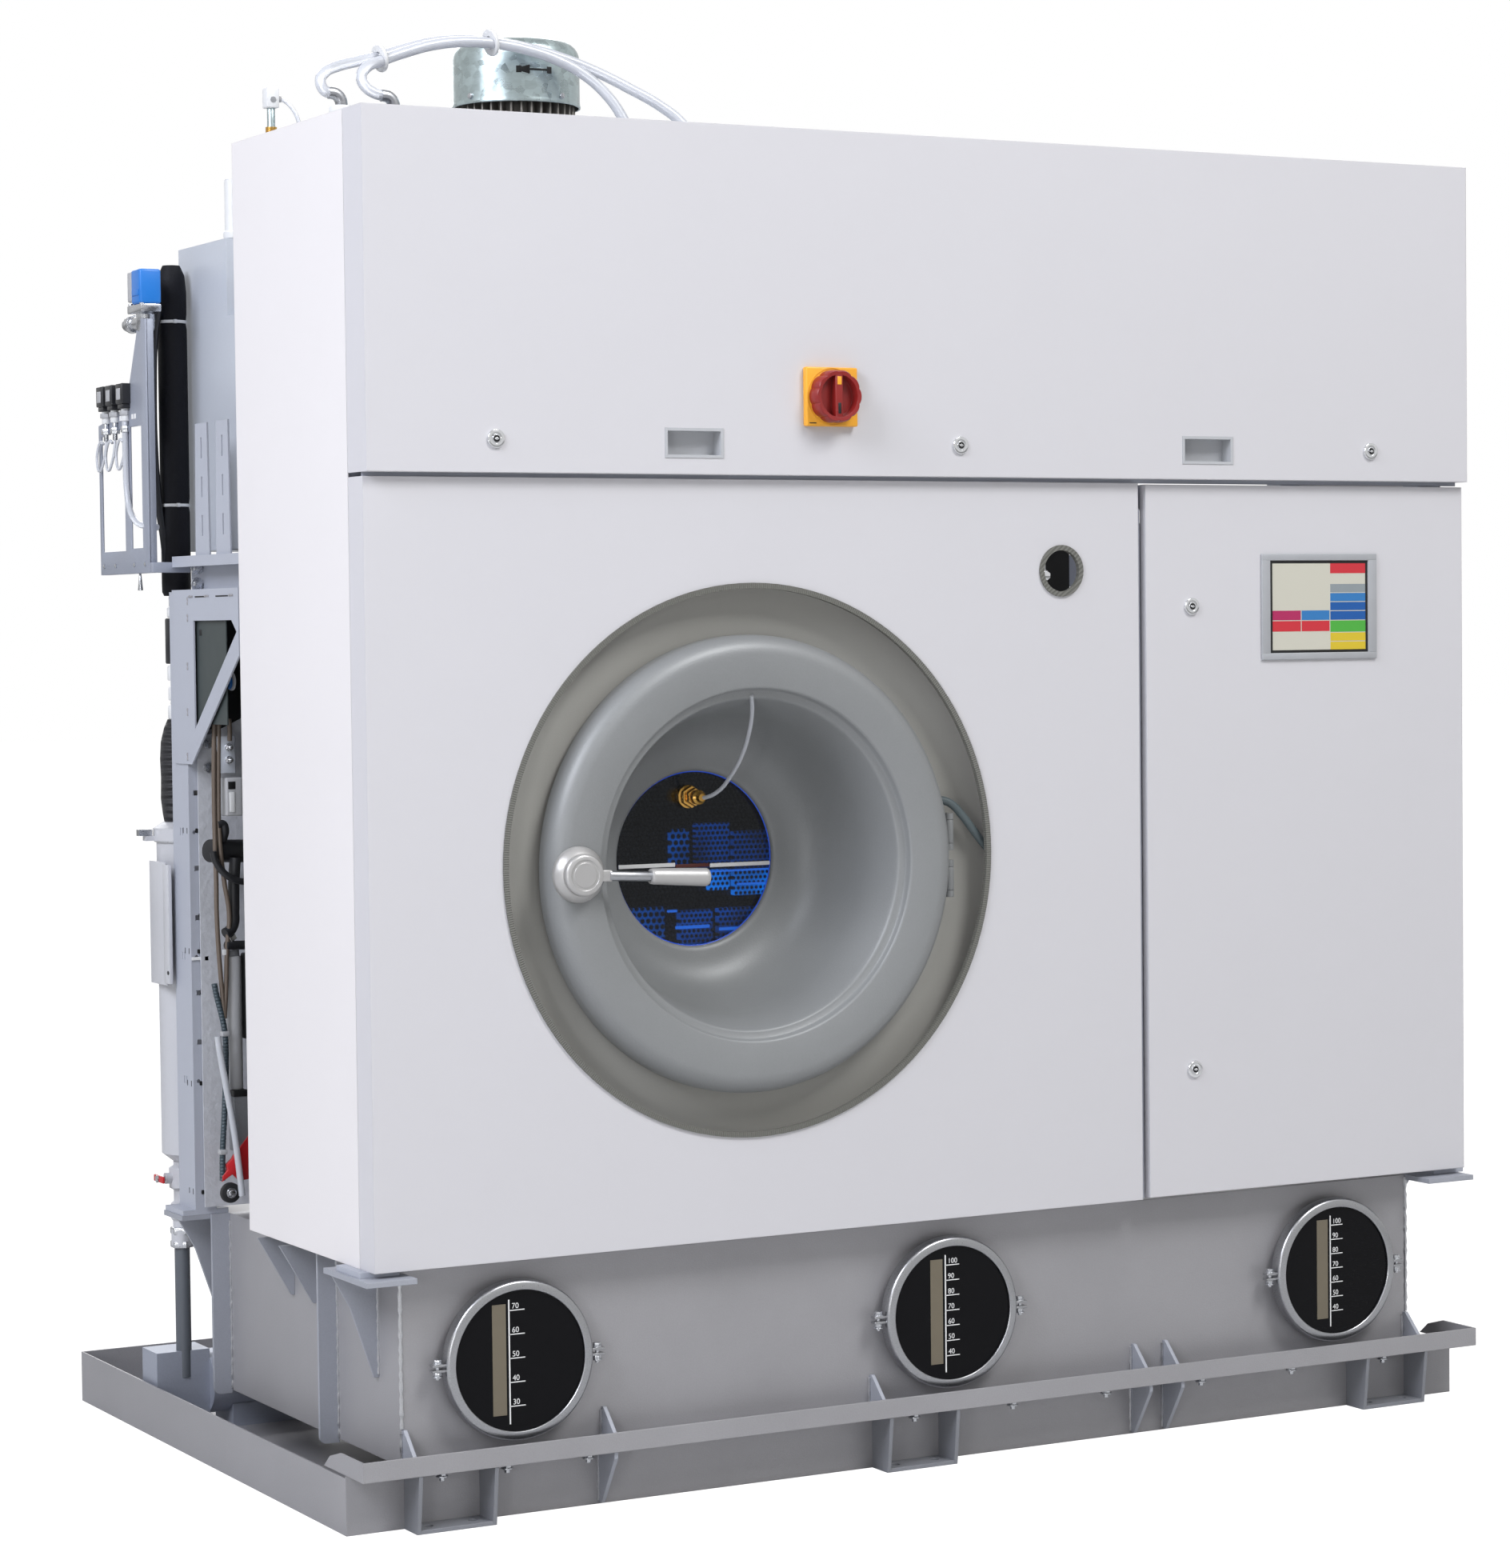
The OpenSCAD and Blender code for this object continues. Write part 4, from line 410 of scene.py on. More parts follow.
FINISHES: dict[str, Paint | Metal | Moulded | Pane | EdgeTrim | Pierced | Glow] = {
    "panel": Paint(srgb(203, 202, 206), 0.5, relief=0.00005, mottle=0.006, edge=0.0022),
    # Lighter copy of the panel paint for the side panels: painted light where the side is lit more
    # brightly.
    "panel_lit_side": Paint(srgb(227, 224, 225), 0.5, relief=0.00005, mottle=0.006, edge=0.0022),
    "silver": Paint(srgb(158, 157, 160), 0.44, 420.0, 0.0002, 0.07, 0.25, edge=0.0016),
    "gusset": Paint(srgb(160, 163, 172), 0.45, 420.0, 0.0002, 0.07, 0.2, edge=0.0014),
    "weld": Metal(srgb(196, 197, 200), 0.32),
    "band": Metal(srgb(170, 171, 174), 0.3),
    "foot_grey": Paint(srgb(134, 136, 142), 0.45, 420.0, 0.0002, 0.07, 0.2, edge=0.0014),
    "hose_grey": Moulded(srgb(92, 97, 104), 0.45),
    "silver_dark": Paint(srgb(158, 163, 176), 0.45, 420.0, 0.0002, 0.08, 0.3, edge=0.0014),
    "sheet_grey": Paint(srgb(178, 182, 193), 0.45, 500.0, 0.0001, 0.04, 0.15, edge=0.001),
    "duct_grey": Paint(srgb(200, 205, 214), 0.4, 300.0, 0.00005, 0.03, 0.2, edge=0.001),
    "vessel_grey": Paint(srgb(196, 197, 202), 0.35, 300.0, 0.00005, 0.02, 0.1, edge=0.001),
    "speckled": Paint(srgb(196, 198, 204), 0.6, 90.0, 0.0012, 0.12, 0.1, edge=0.0),
    "door_grey": Paint(srgb(137, 139, 140), 0.42, 380.0, 0.00022, 0.04, 0.12, edge=0.002,
                       gloss=0.3),
    "recess": Paint(srgb(158, 157, 152), 0.55, 500.0, 0.0001, 0.04, 0.1),
    "handle": Paint(srgb(182, 181, 180), 0.34, 600.0, 0.0001, 0.03, 0.45, edge=0.0015),
    "zinc": Metal(srgb(196, 198, 202), 0.28),
    "chrome": Metal((0.82, 0.83, 0.85), 0.12, streak=0.05),
    "galvanised": Metal(srgb(178, 192, 194), 0.3, (10, 10, 40), 0.16, 90.0),
    "steel": Metal(srgb(170, 172, 176), 0.34, (10, 10, 120)),
    # Drum insides: stainless steel coloured dark blue as painted shade and blue light; the pierced
    # sheets glow as painted light, mesh_dim and mesh_lit being dim and lit copies, and drum_back is
    # near black as painted shade.
    "drum_steel": Pierced(srgb(22, 30, 48)),
    "drum_back": Pierced(srgb(5, 8, 14), 0.008, 0.0026, True),
    "mesh_dim": Pierced(srgb(10, 20, 40), 0.0084, 0.0031, True, (0.0, 0.05, 0.26)),
    "mesh_lit": Pierced(srgb(30, 60, 110), 0.0084, 0.003, True, (0.0, 0.24, 0.95)),
    "mesh_wide": Pierced(srgb(10, 20, 40), 0.0105, 0.0042, True, (0.0, 0.07, 0.32)),
    "lifter": Metal(srgb(60, 80, 120), 0.3),
    "brass": Metal(srgb(205, 160, 84), 0.25),
    "cast": Paint(srgb(120, 122, 126), 0.6, 260.0, 0.0004, 0.12),
    "motor_blue": Paint(srgb(60, 92, 138), 0.4),
    "fins": Paint(srgb(140, 136, 130), 0.5, 300.0, 0.0003, 0.15, 0.6),
    "trim": EdgeTrim(srgb(112, 112, 106)),
    "recess_green": Moulded(srgb(58, 66, 66), 0.5),
    "copper_brown": Moulded(srgb(104, 92, 82), 0.4),
    "conduit": Moulded(srgb(62, 76, 84), 0.45, ribs=60.0),
    "pipe_black": Moulded(srgb(24, 25, 29), 0.5),
    "rust_red": Moulded(srgb(84, 30, 22), 0.5),
    "black_rubber": Moulded(srgb(26, 27, 30), 0.6),
    "black_plastic": Moulded(srgb(30, 31, 35), 0.35),
    "foam": Moulded(srgb(17, 18, 24), 0.62, 300.0, 0.0006, gloss=0.2),
    "wrapped": Moulded(srgb(34, 34, 38), 0.5, 500.0, 0.0004, ribs=26.0),
    "white_plastic": Moulded(srgb(226, 227, 228), 0.4),
    "grey_plastic": Moulded(srgb(176, 177, 180), 0.45),
    "grip_grey": Moulded(srgb(186, 188, 192), 0.4),
    "grey_hose": Moulded(srgb(84, 95, 98), 0.35),
    "clear_hose": Moulded(srgb(226, 229, 236), 0.2, clear=0.35),
    "yellow": Moulded(srgb(243, 172, 48), 0.35),
    "knob_red": Moulded(srgb(142, 36, 34), 0.3),
    "red": Moulded(srgb(196, 32, 38), 0.35),
    "blue": Moulded(srgb(36, 120, 205), 0.35),
    # Sight panes: opaque near-black glass, painted shade of the dark tank behind.
    "dark_glass": Pane((0.004, 0.004, 0.005), 0.0, 0.05),
    "window": Pane((0.75, 0.85, 1.0), 1.0, 0.02),
    "ink_white": Moulded(srgb(240, 240, 240), 0.5),
    "ink_black": Moulded(srgb(24, 24, 24), 0.5),
    "strip": Moulded(srgb(112, 104, 88), 0.5),
    "bezel": Moulded(srgb(168, 170, 174), 0.45),
    "dark": Moulded(srgb(14, 15, 17), 0.5),
    "screen_paper": Glow(srgb(186, 184, 172)),
    "screen_red": Glow(srgb(184, 44, 54)),
    "screen_grey": Glow(srgb(130, 138, 142)),
    "screen_sky": Glow(srgb(46, 110, 168)),
    "screen_blue": Glow(srgb(22, 80, 148)),
    "screen_green": Glow(srgb(70, 156, 58)),
    "screen_yellow": Glow(srgb(196, 172, 44)),
    "screen_magenta": Glow(srgb(160, 36, 84)),
    # Painted light: glowing blue standing in for the light inside the drum, on the window's edge
    # ring and on the drum's back.
    "blue_glow_edge": Glow(srgb(0, 60, 170), 0.6),
    "blue_glow_spot": Glow(srgb(40, 120, 235), 0.8),
}


class Paints:
    """The finishes as materials, each made on first use."""

    made: dict[str, bpy.types.Material] = {}

    @classmethod
    def get(cls, name: str) -> bpy.types.Material:
        """The material of a named finish."""
        if name not in cls.made:
            cls.made[name] = bpy.data.materials.new(name)
            FINISHES[name].fill(ShaderTree(cls.made[name]))
        return cls.made[name]


def dress(finish: str, *nodes: str) -> None:
    """Gives carried-over CAD nodes a finish."""
    for node in nodes:
        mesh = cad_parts[node].data
        mesh.materials.clear()
        mesh.materials.append(Paints.get(finish))
        log.info("dressed %s in %s", node, finish)


# ---- Pieces ----


class Piece:
    """A new piece in the making, measured in millimetres.

    In every method that adds a shape, finish is the number of the shape's finish among the
    piece's own, and bevel is the rounding of its edges.
    """

    def __init__(self, name: str, *finishes: str) -> None:
        """Starts an empty piece.

        Args:
            name: The piece's name.
            finishes: Names of its finishes.
        """
        self.name = name
        self.finishes = finishes
        self.shape = bmesh.new()

    def take(self, part: bmesh.types.BMesh, finish: int, place: Matrix | None = None) -> None:
        """Adds a closed part to the piece, at its place, and frees it."""
        if place is not None:
            part.transform(place)
        bmesh.ops.remove_doubles(part, verts=part.verts, dist=0.001)
        bmesh.ops.recalc_face_normals(part, faces=part.faces)
        for face in part.faces:
            face.material_index = finish
            face.smooth = True
        scratch = bpy.data.meshes.new("scratch")
        part.to_mesh(scratch)
        part.free()
        self.shape.from_mesh(scratch)
        bpy.data.meshes.remove(scratch)

    def trace(self, curve: bpy.types.Curve, finish: int, place: Matrix | None = None) -> None:
        """Adds the solid that a curve or a text draws, and removes the curve."""
        holder = bpy.data.objects.new(self.name, curve)
        mesh = bpy.data.meshes.new_from_object(holder)
        part = bmesh.new()
        part.from_mesh(mesh)
        bpy.data.objects.remove(holder)
        bpy.data.meshes.remove(mesh)
        bpy.data.curves.remove(curve)
        self.take(part, finish, place)

    @staticmethod
    def round_off(part: bmesh.types.BMesh, edges: Sequence[bmesh.types.BMEdge], bevel: float,
                  segments: int = 2) -> None:
        """Rounds some edges of a part."""
        if bevel:
            bmesh.ops.bevel(part, geom=edges, offset=bevel, segments=segments, affect="EDGES",
                            profile=0.5, material=-1)

    def slab(self, low: Point, high: Point, finish: int = 0, bevel: float = 0.0,
             segments: int = 2, place: Matrix | None = None) -> None:
        """Adds a box between two corners."""
        part = bmesh.new()
        low, high = Vector(low), Vector(high)
        bmesh.ops.create_cube(part, size=1.0,
                              matrix=move((high + low) / 2) @ Matrix.Diagonal((*(high - low), 1.0)))
        self.round_off(part, part.edges[:], bevel, segments)
        self.take(part, finish, place)

    def prism(self, outline: Sequence[Point], base: Point, axis: Axis, depth: float,
              finish: int = 0, bevel: float = 0.0, holes: Sequence[Sequence[Point]] = ()) -> None:
        """Adds a flat outline drawn out along an axis.

        Args:
            outline: Points in the plane across the axis: x to the right of it, y up.
            base: Where the outline's origin lies.
            axis: The direction of drawing.
            depth: How far it is drawn.
            finish: Number of its finish.
            bevel: Rounding of its edges.
            holes: Outlines of openings through it.
        """
        part = bmesh.new()
        edges = []
        for loop in (outline, *holes):
            corners = [part.verts.new((x, y, 0.0)) for x, y in loop]
            edges += [part.edges.new(pair) for pair in zip(corners, corners[1:] + corners[:1])]
        bmesh.ops.triangle_fill(part, edges=edges, use_beauty=True)
        bmesh.ops.dissolve_limit(part, angle_limit=0.01, verts=part.verts, edges=part.edges)
        drawn = bmesh.ops.extrude_face_region(part, geom=part.faces[:])["geom"]
        bmesh.ops.translate(part, vec=(0, 0, depth),
                            verts=[g for g in drawn if isinstance(g, bmesh.types.BMVert)])
        bmesh.ops.recalc_face_normals(part, faces=part.faces)
        self.round_off(part, [e for e in part.edges if e.calc_face_angle(0.0) > 0.3], bevel)
        self.take(part, finish, move(base) @ LAID[axis])

    def turned(self, outline: Sequence[Point], base: Point, axis: Axis | Vector, finish: int = 0,
               steps: int = 48, ring: bool = False) -> None:
        """Adds an outline of (radius, height) points turned round an axis.

        Args:
            outline: The points, from the axis back to the axis, or a closed ring.
            base: The point of the axis at height 0.
            axis: The axis.
            finish: Number of its finish.
            steps: Steps of the full turn.
            ring: Whether the outline closes on itself.
        """
        part = bmesh.new()
        points = [part.verts.new((r, 0.0, h)) for r, h in outline]
        edges = [part.edges.new(pair) for pair in zip(points, points[1:])]
        if ring:
            edges.append(part.edges.new((points[-1], points[0])))
        bmesh.ops.spin(part, geom=points + edges, cent=(0, 0, 0), axis=(0, 0, 1),
                       angle=math.tau, steps=steps, use_merge=True)
        self.take(part, finish, move(base) @ turn_to(axis))

    def rod(self, start: Point, end: Point, radius: float, finish: int = 0, sides: int = 24,
            bevel: float = 0.0, end_radius: float | None = None) -> None:
        """Adds a rod, or a cone if it has an end radius, between two points."""
        start, end = Vector(start), Vector(end)
        part = bmesh.new()
        bmesh.ops.create_cone(part, cap_ends=True, segments=sides, radius1=radius,
                              radius2=radius if end_radius is None else end_radius,
                              depth=(end - start).length)
        rims = [e for e in part.edges if any(len(f.verts) == sides for f in e.link_faces)]
        self.round_off(part, rims, bevel)
        self.take(part, finish, move((start + end) / 2) @ turn_to(end - start))

    def hose(self, route: Sequence[Point], radius: float, finish: int = 0, sides: int = 3,
             radii: Sequence[float] | None = None, steps: int = 6) -> None:
        """Adds a smooth round tube along a route, closed at both ends.

        Args:
            route: Points on its middle line.
            radius: Its radius.
            finish: Number of its finish.
            sides: Fineness of its section.
            radii: Factors on the radius at the points.
            steps: Steps between two points.
        """
        curve = bpy.data.curves.new("route", "CURVE")
        curve.dimensions, curve.resolution_u = "3D", steps
        curve.bevel_depth, curve.bevel_resolution, curve.use_fill_caps = radius, sides, True
        line = curve.splines.new("BEZIER")
        line.bezier_points.add(len(route) - 1)
        for index, (point, place) in enumerate(zip(line.bezier_points, route)):
            point.co = Vector(place)
            point.handle_left_type = point.handle_right_type = "AUTO"
            point.radius = 1.0 if radii is None else radii[index]
        self.trace(curve, finish)

    def digits(self, text: str, size: float, at: Point, finish: int = 0,
               depth: float = 0.2) -> None:
        """Adds a number that faces the front."""
        curve = bpy.data.curves.new("digits", "FONT")
        curve.body, curve.size, curve.extrude = text, size, depth / 2
        self.trace(curve, finish, move(at) @ Matrix.Rotation(math.pi / 2, 4, "X"))

    def nut(self, at: Point, axis: Axis, radius: float, height: float, finish: int = 0,
            washer: float = 0.0, washer_height: float = 1.6) -> None:
        """Adds a hexagonal nut or head, on a washer if it has a radius."""
        foot, way = Vector(at), Vector(axis.value)
        if washer:
            self.rod(foot, foot + way * washer_height, washer, finish, 24, 0.4)
            foot = foot + way * washer_height
        self.rod(foot, foot + way * height, radius, finish, 6, radius * 0.12)

    def weld(self, start: Point, end: Point, radius: float = 2.6, finish: int = 0) -> None:
        """Adds a rippled weld bead between two points."""
        start, end = Vector(start), Vector(end)
        count = max(4, int((end - start).length / 7))
        steps = range(count + 1)
        ripple = [1.0 + 0.28 * math.sin(i * 2.4) + 0.12 * math.sin(i * 5.1) for i in steps]
        self.hose([start.lerp(end, i / count) for i in steps], radius, finish, 1, ripple, 2)

    def done(self, body: str, replaces: Iterable[str] = (),
             sharp: float = 38.0) -> bpy.types.Object:
        """Closes the piece, in metres, and fixes it to its body.

        Args:
            body: The CAD body that it rides on, or "" for none yet.
            replaces: CAD nodes that it stands for.
            sharp: Angle in degrees above which an edge stays sharp.

        Returns:
            The piece's object.
        """
        mesh = bpy.data.meshes.new(self.name)
        self.shape.to_mesh(mesh)
        self.shape.free()
        mesh.transform(Matrix.Scale(MM, 4))
        mesh.set_sharp_from_angle(angle=math.radians(sharp))
        for name in self.finishes:
            mesh.materials.append(Paints.get(name))
        made = bpy.data.objects.new(self.name, mesh)
        bpy.context.scene.collection.objects.link(made)
        if body:
            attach(made, body)
        if replaces:
            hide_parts(*replaces)
        log.info("%s: %d faces on %s", self.name, len(mesh.polygons), body)
        return made


# ---- Stage ----


@dataclass(frozen=True)
class Lamp:
    """A soft square lamp, in metres and watts."""

    name: str
    at: Point
    aim: Point
    side: float
    power: float
    tint: Colour = (1.0, 1.0, 1.0)

    def hang(self) -> None:
        """Hangs the lamp."""
        data = bpy.data.lights.new(self.name, "AREA")
        data.shape, data.size, data.size_y = "RECTANGLE", self.side, self.side
        data.energy, data.color = self.power, self.tint
        holder = bpy.data.objects.new(self.name, data)
        ahead = Vector(self.aim) - Vector(self.at)
        holder.matrix_world = move(self.at) @ ahead.to_track_quat("-Z", "Y").to_matrix().to_4x4()
        bpy.context.scene.collection.objects.link(holder)


@dataclass
class Stage:
    """Camera, floor, backdrop light and soft lamps, in metres and degrees."""

    eye: Point = (-3.10772, -5.68771, 1.29048)
    yaw: float = 28.638
    pitch: float = -2.3065
    roll: float = -0.6555
    lens: float = 89.17
    sensor: float = 36.0
    sky: float = 0.34
    shine: float = 0.7
    floor_size: float = 40.0
    floor_grey: float = 0.62
    floor_glow: float = 1.36
    floor_share: float = 0.75
    lamps: tuple[Lamp, ...] = (
        Lamp("key", (1.6, -4.8, 6.4), (-0.2, -0.5, 1.0), 2.4, 312),
        Lamp("side", (-5.2, -2.3, 4.6), (-0.95, -0.3, 1.5), 2.8, 284, (0.94, 0.97, 1.06)),
        Lamp("rear", (1.5, 6.5, 5.0), (0.0, 0.2, 1.0), 4.0, 240),
        Lamp("low", (-3.6, -3.8, 0.8), (-0.6, -0.6, 0.7), 0.6, 20))

    def camera(self) -> None:
        """Sets the camera at the photograph's place."""
        yaw, pitch, roll = (math.radians(a) for a in (self.yaw, self.pitch, self.roll))
        ahead = Vector((math.sin(yaw) * math.cos(pitch), math.cos(yaw) * math.cos(pitch),
                        math.sin(pitch)))
        right = Vector((math.cos(yaw), -math.sin(yaw), 0.0))
        up = right.cross(ahead)
        side = math.cos(roll) * right + math.sin(roll) * up
        top = -math.sin(roll) * right + math.cos(roll) * up
        data = bpy.data.cameras.new("camera")
        data.lens, data.sensor_width, data.clip_end = self.lens, self.sensor, 100.0
        holder = bpy.data.objects.new("camera", data)
        holder.matrix_world = move(self.eye) @ Matrix((side, top, -ahead)).transposed().to_4x4()
        bpy.context.scene.collection.objects.link(holder)
        bpy.context.scene.camera = holder

    def floor(self) -> None:
        """Lays a pale floor that keeps the machine's shadow."""
        part = bmesh.new()
        bmesh.ops.create_grid(part, x_segments=2, y_segments=2, size=self.floor_size)
        mesh = bpy.data.meshes.new("floor")
        part.to_mesh(mesh)
        part.free()
        tree = ShaderTree(bpy.data.materials.new("floor"))
        seen = tree.out("ShaderNodeLightPath", {}, {}, "Is Camera Ray")
        pale = tree.out("ShaderNodeBsdfDiffuse", {}, {"Color": (*[self.floor_grey] * 3, 1.0)})
        white = tree.out("ShaderNodeEmission", {},
                         {"Color": (1, 1, 1, 1), "Strength": self.floor_glow})
        both = tree.out("ShaderNodeMixShader", {}, {0: seen * self.floor_share, 1: pale, 2: white})
        tree.node("ShaderNodeOutputMaterial", {}, {"Surface": both})
        mesh.materials.append(tree.owner)
        made = bpy.data.objects.new("floor", mesh)
        bpy.context.scene.collection.objects.link(made)

    def backdrop(self) -> None:
        """Lights the scene evenly, white where the camera or gloss looks past the machine."""
        world = bpy.data.worlds.new("studio")
        bpy.context.scene.world = world
        tree = ShaderTree(world)
        seen, gloss, through = (tree.out("ShaderNodeLightPath", {}, {}, f"Is {kind} Ray")
                                for kind in ("Camera", "Glossy", "Transmission"))
        past = tree.maths("MAXIMUM", seen, through)
        level = tree.maths("MAXIMUM", past, tree.maths("MAXIMUM", gloss * self.shine, self.sky))
        light = tree.out("ShaderNodeBackground", {}, {"Color": (1, 1, 1, 1), "Strength": level})
        tree.node("ShaderNodeOutputWorld", {}, {"Surface": light})

    def build(self) -> None:
        """Sets up the whole stage."""
        bpy.context.scene.view_settings.view_transform = "Standard"
        self.camera()
        self.floor()
        self.backdrop()
        for lamp in self.lamps:
            lamp.hang()
        log.info("stage is set")


# ---- Base ----


@dataclass
class Base:
    """Drip tray, front rail, feet, gussets and tanks."""

    front: float = -576.0
    walls: tuple = ((-907, -1), (903, 1))
    lower_gussets: tuple = (-590, 356, 417)
    upper_gussets: tuple = (-904, -584, -125, 358, 418, 900)
    half_gusset: float = 3.4
    bolts: tuple = (-861, -758, -627, -70, 108, 282, 464, 642, 827)
    washers: tuple = ((89.1, 90.8, 9.5), (77.5, 79.4, 8.8))

    def welds(self) -> None:
        """Lays the weld beads along gussets, seams and ribs."""
        beads = Piece("base_welds", "weld")
        f = self.front
        for x in self.upper_gussets:
            for side in (x - self.half_gusset, x + self.half_gusset):
                beads.weld((side, f - 0.5, 92), (side, f - 0.5, 140), 3.0)
                beads.weld((side, f - 2, 90), (side, f - 40, 90))
        for x in self.lower_gussets:
            for side in (x - self.half_gusset, x + self.half_gusset):
                beads.weld((side, f - 0.5, 5), (side, f - 0.5, 82))
        for wall, out in self.walls:
            skin = wall + out * 0.5
            for y, low in ((f + 233.4, 92), (f + 672.4, 92), (f + 79.4, 212)):
                beads.weld((skin, y, low), (skin, y, 360))
        for wall, _ in self.walls:
            beads.weld((wall, f, 145), (wall, f, 368), 3.0)
        beads.done("machine")

    def hardware(self) -> None:
        """Adds washers under the rail's nuts and heads."""
        parts = Piece("rail_washers", "zinc")
        y = self.front - 36
        for x in self.bolts:
            for low, high, radius in self.washers:
                parts.rod((x, y, low), (x, y, high), radius, 0, 24, 0.4)
        parts.done("machine")

    def build(self) -> None:
        """Dresses the base."""
        dress("silver", "drip_tray", "tank_shell", "sight_flanges", "front_rail")
        dress("foot_grey", "front_feet")
        dress("gusset", "base_gussets")
        dress("zinc", "base_fasteners")
        self.welds()
        self.hardware()


@dataclass
class SightGlasses:
    """Round tank windows with their clamps and printed level scales."""

    centres: tuple = (-732.0, 3.0, 738.0)
    height: float = 232.0
    pane: float = -606.0
    scales: tuple = ((-38.0, 30, 70, 35.0), (-26.0, 40, 100, 23.4), (-26.0, 40, 100, 23.4))
    band: tuple = ((103.2, 6.4), (103.2, 9.4), (104.2, 10.4), (113.5, 10.4), (116.4, 8.2),
                   (117.4, 5.0), (117.4, -9.0), (116.2, -12.0), (106.2, -12.0), (106.2, -8.4),
                   (112.9, -8.4), (112.9, 6.4))
    lug: tuple = (116, 138)
    bolt_x: float = 128.0
    bolt_y: float = -599.0

    def scale(self, index: int) -> None:
        """Prints one level scale on its window."""
        x, z, y = self.centres[index], self.height, self.pane - 0.15
        reach, first, last, step = self.scales[index]
        line = x + reach * 0.45
        scale = Piece(f"level_scale_{index + 1}", "ink_white", "strip")
        scale.slab((line - 1.1, y - 0.3, z - 92), (line + 1.1, y, z + 90))
        scale.slab((line - 27, y - 0.25, z - 78), (line - 5, y, z + 84), 1)
        numbers = range(first, last + 10, 10)
        low = z + 74 - step * (len(numbers) - 1)
        for i, number in enumerate(numbers):
            at = low + i * step
            scale.slab((line, y - 0.3, at - 0.7), (line + 25, y, at + 0.7))
            scale.digits(str(number), 11.5, (line + 4.5, y - 0.1, at + 2.6))
        scale.done("machine")

    def clamp(self, index: int) -> None:
        """Makes one rolled clamp band with its lugs and bolts."""
        x, y, z = self.centres[index], self.bolt_y, self.height
        band = Piece(f"clamp_band_{index + 1}", "band", "zinc")
        band.turned(self.band, (x, self.pane + 6, z), Axis.FRONT, 0, 96, True)
        for s in (-1, 1):
            left, right = sorted(x + s * reach for reach in self.lug)
            for low, high in ((z - 6, z - 2), (z + 2, z + 6)):
                band.slab((left, -606, low), (right, -593, high), 0, 1.2)
            at = x + s * self.bolt_x
            band.rod((at, y, z - 17), (at, y, z + 8), 3, 1, 16)
            band.nut((at, y, z + 6), Axis.Z, 6.2, 5, 1, 7.5)
            band.rod((at, y, z - 12), (at, y, z - 6), 6.2, 1, 6, 0.8)
            band.rod((at, y, z - 13.5), (at, y, z - 12), 7.5, 1, 24, 0.4)
        band.done("machine", ("sight_clamps",) if index == 0 else ())

    def build(self) -> None:
        """Dresses the three windows."""
        dress("dark_glass", "sight_panes")
        for make in (self.scale, self.clamp):
            for index in range(len(self.centres)):
                make(index)


# ---- Cabinet ----


